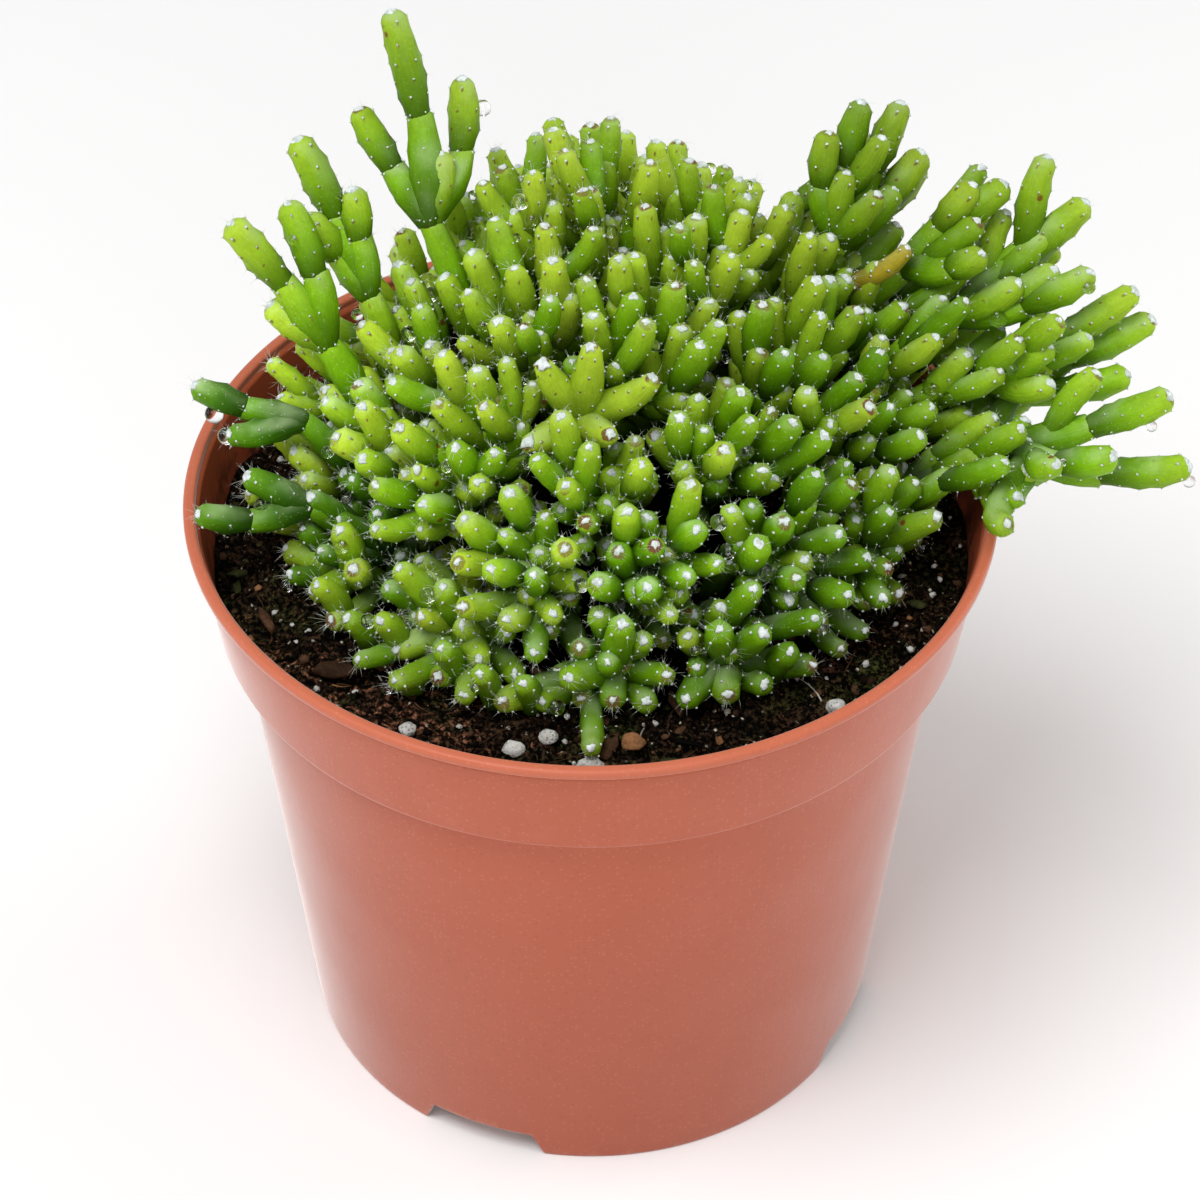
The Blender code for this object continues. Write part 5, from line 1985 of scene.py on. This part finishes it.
@dataclass
class Plant:
    """All the shoots: skins, wool, bristles and drops."""

    crown: Crown
    skeleton: Skeleton
    fill_tips: set[int]
    form: LinkForm = field(default_factory=LinkForm)
    seed: int = 5
    shown_depth: float = 0.82
    wool_depth: float = 0.62
    cap_sides: int = 12
    cap_radius: float = 0.93 * MM
    cap_shift: float = 0.50 * MM
    cap_lean: float = 0.34
    cap_droop: float = 5.2 * MM
    wool_radius: float = 2.45 * MM
    light_from: tuple[float, float, float] = (0.0, -0.35, 0.94)
    drop_count: int = 175
    heavy_drop: float = 1.45 * MM
    hair_radius: float = 0.025 * MM
    ringed_share: float = 0.36
    faded_place: tuple[float, float, float] = (46.5, 21.0, 127.0)
    # Painted shade on the stems: lightness by depth in the crown, by height and by side in millimetres, and
    # on trunks by height.
    painted_shade_by_depth: Steps = ((0.50, 0.95), (0.26, 1.0))
    painted_shade_by_height: Steps = ((88, 112, 121, 150), (0.48, 1.05, 0.92, 0.69))
    painted_shade_by_side: Steps = ((-50, -15, 12, 40, 52, 68), (1.22, 1.07, 1.05, 0.78, 0.82, 1.04))
    painted_shade_of_trunk: Steps = ((94, 102), (0.42, 1.0))
    tint_middle: float = 0.52
    tint_spread: float = 0.20
    cap_rings: tuple[float, ...] = (0.55, 1.0, 0.86, 0.40)
    cap_lifts: tuple[float, ...] = (-0.30, -0.04, 0.16, 0.27)
    cap_rags: tuple[float, ...] = (0.10, 0.24, 0.20, 0.10)
    cap_poles: tuple[float, float] = (-0.35 * MM, 0.30 * MM)
    tip_bristles: tuple[int, int] = (3, 12)
    tip_bristle_length: tuple[float, float] = (0.8, 2.3)
    side_bristle_length: tuple[float, float] = (0.5, 1.6)
    withering: float = 0.75
    carry_on: float = 0.28
    fill_lean: float = 0.85
    tip_lean: float = 0.60
    long_thickness: float = 0.94
    short_thickness: float = 0.84
    trunk_sunk: float = 1.8 * MM
    link_sunk: float = 0.35
    overlap: float = 0.45
    tip_from: float = 0.82
    drops_from: float = 0.45
    drop_lift: float = 0.45
    drop_sizes: tuple[float, float] = (0.50 * MM, 0.90 * MM)
    tips: list[Areole] = field(default_factory=list)
    areoles: list[Areole] = field(default_factory=list)

    def painted_shade_at(self, points: Array) -> Array:
        """Painted shade on the skin, as how light it is: less deep in the plant, low down and at the right,
        more outside.
        """
        x, _, z = points.T / MM
        inner = np.interp(self.crown.depth(points), *self.painted_shade_by_depth)
        return inner * np.interp(z, *self.painted_shade_by_height) * np.interp(x, *self.painted_shade_by_side)

    def tint_at(self, point: Array, rng: np.random.Generator) -> float:
        """How yellow a link is: more on the left and at the front left, less at the lower right."""
        right = np.clip(point[0] / (45 * MM), -1, 1)
        front = np.clip(-point[1] / (40 * MM), -1, 1)
        low = np.clip(7.2 - point[2] / (15 * MM), 0, 1)
        lean = self.tint_middle - 0.20 * right - 0.20 * front * (1 + right) - 0.12 * low
        return float(np.clip(lean + rng.normal(0, self.tint_spread), 0.02, 1.0))

    def faded_tip(self) -> int:
        """Joint of the short stem that has faded: the one nearest to its known place."""
        new = sorted(self.fill_tips)
        away = np.array(self.skeleton.joints)[new] - np.array(self.faded_place) * MM
        return new[int(np.linalg.norm(away, axis=1).argmin())]

    def links_of(self, name: str, rng: np.random.Generator) -> list[Link]:
        """The links of one shoot.

        Args:
            name: the shoot.
            rng: random draws.

        Returns:
            Its links, trunk first.
        """
        joints, stems = self.skeleton.joints, self.skeleton.stems[name]
        onward = unit(joints[stems[0][-1]] - joints[stems[0][-2]])
        long, faded, made = name.removeprefix("shoot_"), self.faded_tip(), []
        for stem in stems:
            first, filled = stem is stems[0], stem[-1] in self.fill_tips
            before = unit(joints[stem[0]] - np.array(self.crown.heart)) if first else onward
            shared = self.tint_at(joints[stem[-1]], rng)
            withered = self.withering if stem[-1] == faded else 0.0
            if long == "star" and not first:
                stem = [stem[0], stem[-1]]
            for k, (a, b) in enumerate(zip(stem[:-1], stem[1:])):
                start, end = joints[a], joints[b]
                straight, last = unit(end - start), b == stem[-1] and not first
                kind = LinkKind.TRUNK if first else LinkKind.INNER
                if last:
                    kind = LinkKind.FILL if filled else LinkKind.TIP
                carried = (1 - self.carry_on) * straight + self.carry_on * before
                leave = straight if filled else unit(carried)
                lean = self.fill_lean if filled else self.tip_lean
                arrive = unit((1 - lean) * straight + lean * self.crown.heading(end))
                taper, belly = (rng.uniform(0.66, 0.82), rng.uniform(0.48, 0.66)) if last else (0.72, 0.5)
                thick = self.skeleton.stem_radius * rng.uniform(0.93, 1.05)
                tint = np.clip(shared + rng.normal(0, 0.08), 0, 1)
                ring = rng.uniform(0.3, 0.95) if rng.random() < self.ringed_share else 0.0
                front = np.clip((-end[0] - end[1]) / (60 * MM), -0.6, 1)
                bristle = np.clip(0.5 + 0.45 * front + rng.normal(0, 0.22), 0, 1)
                if filled:
                    thick *= rng.uniform(0.82, 0.97) * (1 - 0.25 * withered)
                thick *= self.long_thickness if long in LONG_SHOOTS else self.short_thickness
                if long == "star":
                    tint, ring, thick, bristle, taper, belly = 1.0, 0.9, thick * 1.02, 0.25, 0.50, 0.36
                elif long in ("left_over", "left_low"):
                    tint, ring, thick, bristle = -0.22, 0.0, thick * 0.90, 0.75
                elif long.startswith(("right", "tall")):
                    tint, bristle = 0.25 + 0.55 * tint, bristle * 0.5
                if not last:
                    tint, ring, end = tint * 0.55, ring * 0.4, end + straight * self.overlap * thick
                sunk = self.trunk_sunk if first and k == 0 else self.link_sunk * thick
                coarse = bool(not last or self.crown.depth(end) < self.shown_depth)
                base, spin = start - straight * sunk, rng.uniform(0, TURN)
                made.append(Link(
                    kind, base, end, leave, arrive, thick, spin, tint, ring,
                    bristle, taper, withered, coarse, belly,
                ))
                before = straight
        return made

    def dress(self, workshop: Workshop) -> None:
        """Makes each shoot's skin and keeps its tips and areoles for the other pieces.

        Args:
            workshop: where pieces go.
        """
        rng = np.random.default_rng(self.seed)
        skin = StemFinish().build()
        for name in self.skeleton.stems:
            surfaces = []
            for link in self.links_of(name, rng):
                surface, found = self.form.skin(link)
                # Painted shade carried by each point, with trunks darker still low down.
                shade = self.painted_shade_at(surface.points)
                if link.kind is LinkKind.TRUNK:
                    shade *= np.interp(surface.points[:, 2] / MM, *self.painted_shade_of_trunk)
                surface.values["shade"] = shade
                surfaces.append(surface)
                if link.kind in (LinkKind.TIP, LinkKind.FILL):
                    self.tips.append(Areole(surface.points[-1], link.arrive, 1.0, link))
                self.areoles += [a for a in found if link.kind is not LinkKind.TRUNK]
            workshop.place(f"{name}_skin", Surface.join(surfaces), skin, Slot.STEM, (name,))

    def wool_caps(self, workshop: Workshop, wool: bpy.types.Material) -> None:
        """Ragged white caps that lie on the tips like torn felt.

        A cap's ring is at radius R x share x (1 + rag), where rag strays from side to side and
        grows towards the edge, and it droops over the tip as the square of its radius. Each cap
        sits a little towards the light, and leans that way.

        Args:
            workshop: where pieces go.
            wool: the finish.
        """
        rng = np.random.default_rng(self.seed + 1)
        sides, count = self.cap_sides, len(self.tips)
        share, lift = np.array(self.cap_rings), np.array(self.cap_lifts) * MM
        base = ball(sides, len(share))
        places, normal = gathered(self.tips)
        bright = np.array(self.light_from)
        aslant = bright - (normal @ bright)[:, None] * normal
        places, normal = places + aslant * self.cap_shift, unit(normal + self.cap_lean * aslant)
        thick = np.array([a.link.radius for a in self.tips]) / self.wool_radius
        size = thick * rng.uniform(0.80, 1.18, count)
        turn = np.arange(sides) * TURN / sides
        rag = rng.normal(0, 1, (count, 1, sides)) * np.array(self.cap_rags)[:, None]
        radius = self.cap_radius * size[:, None, None] * share[:, None] * (1 + rag.clip(-0.45, 0.5))
        uneven = rng.normal(0, 0.055 * MM, (count, len(share), sides))
        height = lift[:, None] + uneven - radius**2 / self.cap_droop
        stretch = rng.uniform(0.72, 1.0, (count, 1, 1))
        rings = np.stack((radius * np.cos(turn), radius * np.sin(turn) * stretch, height), axis=-1)
        poles = np.zeros((count, 2, 3))
        poles[:, :, 2] = self.cap_poles
        local = np.concatenate((rings.reshape(count, -1, 3), poles), axis=1)
        lean = unit(normal + rng.normal(0, 0.10, normal.shape))
        frames = frames_along(lean, rng.uniform(0, TURN, count), np.ones((count, 3)))
        caps = base.copies(places, frames, {"depth": self.crown.depth(places)})
        caps.points = (places[:, None] + np.einsum("nij,npj->npi", frames, local)).reshape(-1, 3)
        workshop.place("tip_wool", caps, wool, Slot.STEM)

    def areole_wool(self, workshop: Workshop, wool: bpy.types.Material) -> None:
        """A small white tuft on each areole.

        Args:
            workshop: where pieces go.
            wool: the finish.
        """
        rng = np.random.default_rng(self.seed + 2)
        drawn = [a for a in self.areoles if rng.random() < 0.86]
        shown = [a for a in drawn if self.crown.depth(a.place) > self.wool_depth]
        places, normal = gathered(shown)
        near_tip = np.array([1.25 if a.along > self.tip_from else 1.0 for a in shown])[:, None]
        scale = rng.uniform((0.15, 0.15, 0.10), (0.27, 0.24, 0.17), (len(shown), 3)) * MM * near_tip
        frames = frames_along(normal, rng.uniform(0, TURN, len(shown)), scale)
        depth = {"depth": self.crown.depth(places)}
        workshop.place("areole_wool", ball(4, 1).copies(places, frames, depth), wool, Slot.STEM)

    def bristle_tufts(self, workshop: Workshop, bristle: bpy.types.Material) -> None:
        """Fine bristles: a spray at each tip, and one or two at the upper areoles.

        Args:
            workshop: where pieces go.
            bristle: the finish.
        """
        rng = np.random.default_rng(self.seed + 3)
        tip_hairs, side_hairs = ([], [], []), ([], [], [])
        roots, ways, lengths = tip_hairs
        fewest, more = self.tip_bristles
        for tip in self.tips:
            count = int(round(fewest + more * tip.link.bristle))
            side, up = across(tip.normal)
            angle = rng.uniform(0, TURN, count)
            lean = rng.uniform(0.3, 1.5, count)
            out = np.cos(angle)[:, None] * side + np.sin(angle)[:, None] * up
            ways.append(unit(np.cos(lean)[:, None] * tip.normal + np.sin(lean)[:, None] * out))
            roots.append(tip.place + out * rng.uniform(0.2, 0.9, (count, 1)) * MM - tip.normal * 0.15 * MM)
            length = rng.uniform(*self.tip_bristle_length, count) * MM
            lengths.append(length * (0.70 + 0.55 * tip.link.bristle))
        roots, ways, lengths = side_hairs
        for areole in self.areoles:
            bristly = areole.link.bristle
            count = int(rng.random() < 0.25 + 0.75 * bristly) + int(rng.random() < 0.7 * bristly)
            if areole.link.coarse and rng.random() < 0.6:
                continue
            ways.append(unit(areole.normal + rng.normal(0, 0.42, (count, 3))))
            roots.append(np.repeat(areole.place[None], count, axis=0))
            length = rng.uniform(*self.side_bristle_length, count) * MM
            lengths.append(length * (0.55 + 0.7 * bristly))
        made = []
        for (roots, ways, lengths), steps in ((tip_hairs, 2), (side_hairs, 1)):
            root, way, length = np.vstack(roots), np.vstack(ways), np.concatenate(lengths)
            sag = rng.normal(0, 0.16, way.shape) - (0, 0, 0.05)
            made.append(hairs(root, way, sag, length, self.hair_radius, steps))
        workshop.place("bristles", Surface.join(made), bristle, Slot.STEM)

    def drops(self, workshop: Workshop) -> None:
        """Water drops that cling under and beside the outer links.

        Args:
            workshop: where pieces go.
        """
        rng = np.random.default_rng(self.seed + 4)
        outer = [a for a in self.areoles if a.link.kind is not LinkKind.INNER and a.along > self.drops_from]
        sides = [a for a in outer if a.normal[2] < 0.45]
        chosen = [sides[k] for k in rng.choice(len(sides), self.drop_count, replace=False)]
        chosen += [a for a in sides if a.link.tint < 0 and a.normal[2] < -0.5][::3]
        places, normal = gathered(chosen)
        normal = unit(normal * (1, 1, 0.6) - (0, 0, 0.45))
        least, spread = self.drop_sizes
        size = rng.power(1.3, len(chosen))[:, None] * spread + least
        size[self.drop_count:] = self.heavy_drop
        scale = size * rng.uniform((0.95, 0.95, 0.85), (1.05, 1.05, 1.0), (len(chosen), 3))
        centres = places + normal * size * self.drop_lift
        frames = frames_along(normal, rng.uniform(0, TURN, len(chosen)), scale)
        workshop.place("water_drops", ball(12, 7).copies(centres, frames), WaterFinish().build(), Slot.STEM)

    def build(self, workshop: Workshop) -> None:
        """Makes every piece of the plant."""
        self.dress(workshop)
        wool = WoolFinish().build()
        self.wool_caps(workshop, wool)
        self.areole_wool(workshop, wool)
        self.bristle_tufts(workshop, BristleFinish().build())
        self.drops(workshop)


# ---------------------------------------------------------------- studio


@dataclass
class Studio:
    """Pale floor, soft light and the camera."""

    axis: Array
    elevation: float = math.radians(42.21)
    distance: float = 677.55 * MM
    aim_height: float = 76.32 * MM
    lens: float = 135.0
    sensor: float = 36.0
    clip: tuple[float, float] = (0.01, 50.0)
    table_half: tuple[float, float] = (4.0, 3.0)
    bend_radius: float = 1.5
    lit_point: tuple[float, float, float] = (0.0, 0.0, 0.1)
    shift: float = 0.0076
    world: float = 0.42

    def add_floor(self) -> None:
        """A wide pale table top that turns up far behind: height = 0 near, then a quarter circle."""
        flat, bend, wide = 25, np.linspace(0.1, 1.57, 12), 17
        side, near = self.table_half
        run = np.concatenate((np.linspace(-near, near, flat), near + self.bend_radius * np.sin(bend)))
        rise = np.concatenate((np.zeros(flat), self.bend_radius * (1 - np.cos(bend))))
        x, y = np.meshgrid(np.linspace(-side, side, wide), run)
        points = np.stack((x, y, np.repeat(rise[:, None], wide, axis=1)), axis=-1).reshape(-1, 3)
        i, j = np.meshgrid(np.arange(len(run) - 1), np.arange(wide - 1), indexing="ij")
        a = (i * wide + j).ravel()
        mesh = bpy.data.meshes.new("table")
        faces = np.stack((a, a + 1, a + wide + 1, a + wide), axis=1)
        mesh.from_pydata(points.tolist(), [], faces.tolist())
        mesh.shade_smooth()
        mesh.materials.append(FloorFinish().build())
        floor = bpy.data.objects.new("table", mesh)
        bpy.context.scene.collection.objects.link(floor)

    def add_light(self, name: str, place: tuple[float, float, float], size: float, power: float) -> None:
        """A square soft light that faces the plant.

        Args:
            name: its name.
            place: where it stands, in metres.
            size: its side.
            power: its power in watts.
        """
        data = bpy.data.lights.new(name, "AREA")
        data.shape, data.size, data.energy = "SQUARE", size, power
        light = bpy.data.objects.new(name, data)
        light.location = place
        aim = unit(np.array(self.lit_point) - np.array(place))
        pitch, yaw = math.acos(-aim[2]), math.atan2(aim[0], -aim[1])
        light.rotation_euler = (pitch, 0.0, yaw + math.pi)
        bpy.context.scene.collection.objects.link(light)

    def add_camera(self) -> None:
        """The camera, at the height and distance that the object is seen from."""
        data = bpy.data.cameras.new("camera")
        data.lens, data.sensor_width, data.shift_x = self.lens, self.sensor, self.shift
        data.clip_start, data.clip_end = self.clip
        camera = bpy.data.objects.new("camera", data)
        away = np.array((0.0, -math.cos(self.elevation), math.sin(self.elevation))) * self.distance
        camera.location = self.axis + (0, 0, self.aim_height) + away
        camera.rotation_euler = (math.pi / 2 - self.elevation, 0.0, 0.0)
        bpy.context.scene.collection.objects.link(camera)
        bpy.context.scene.camera = camera

    def build(self) -> None:
        """Sets up the whole studio."""
        scene = bpy.context.scene
        scene.view_settings.view_transform = "Standard"
        sky = bpy.data.worlds.new("soft_room")
        sky.use_nodes = True
        background = sky.node_tree.nodes["Background"]
        Graph(sky.node_tree).feed(background, {"Color": WHITE, "Strength": self.world})
        scene.world = sky
        self.add_floor()
        for name, place, size, power in (
            ("top_light", (-0.25, -0.35, 1.1), 0.6, 9.0),
            ("front_light", (0.1, -1.3, 0.7), 0.9, 4.5),
            ("right_light", (1.15, 0.40, 0.42), 0.8, 6.0),
            ("left_light", (-1.2, 0.1, 0.5), 0.8, 2.5),
        ):
            self.add_light(name, place, size, power)
        self.add_camera()


def main() -> None:
    """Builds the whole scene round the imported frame."""
    logging.basicConfig(level=logging.INFO, format="%(message)s")
    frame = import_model()
    low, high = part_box("pot")
    axis = np.array(((low[0] + high[0]) / 2, (low[1] + high[1]) / 2, 0.0))
    workshop = Workshop(axis)
    pot = Pot()
    pot.build(workshop)
    grains = [name for name in sorted(frame["nodes"]) if name.startswith(("perlite", "pebble", "bark"))]
    Mix(pot.form).build(workshop, grains)
    crown = Crown(pot.form)
    growth = Growth(crown)
    skeleton = growth.grow()
    fill_tips = set(growth.fill(skeleton))
    Plant(crown, skeleton, fill_tips).build(workshop)
    Studio(axis).build()
    LOG.info("all pieces: %d triangles", workshop.triangles)


if __name__ == "__main__":
    main()
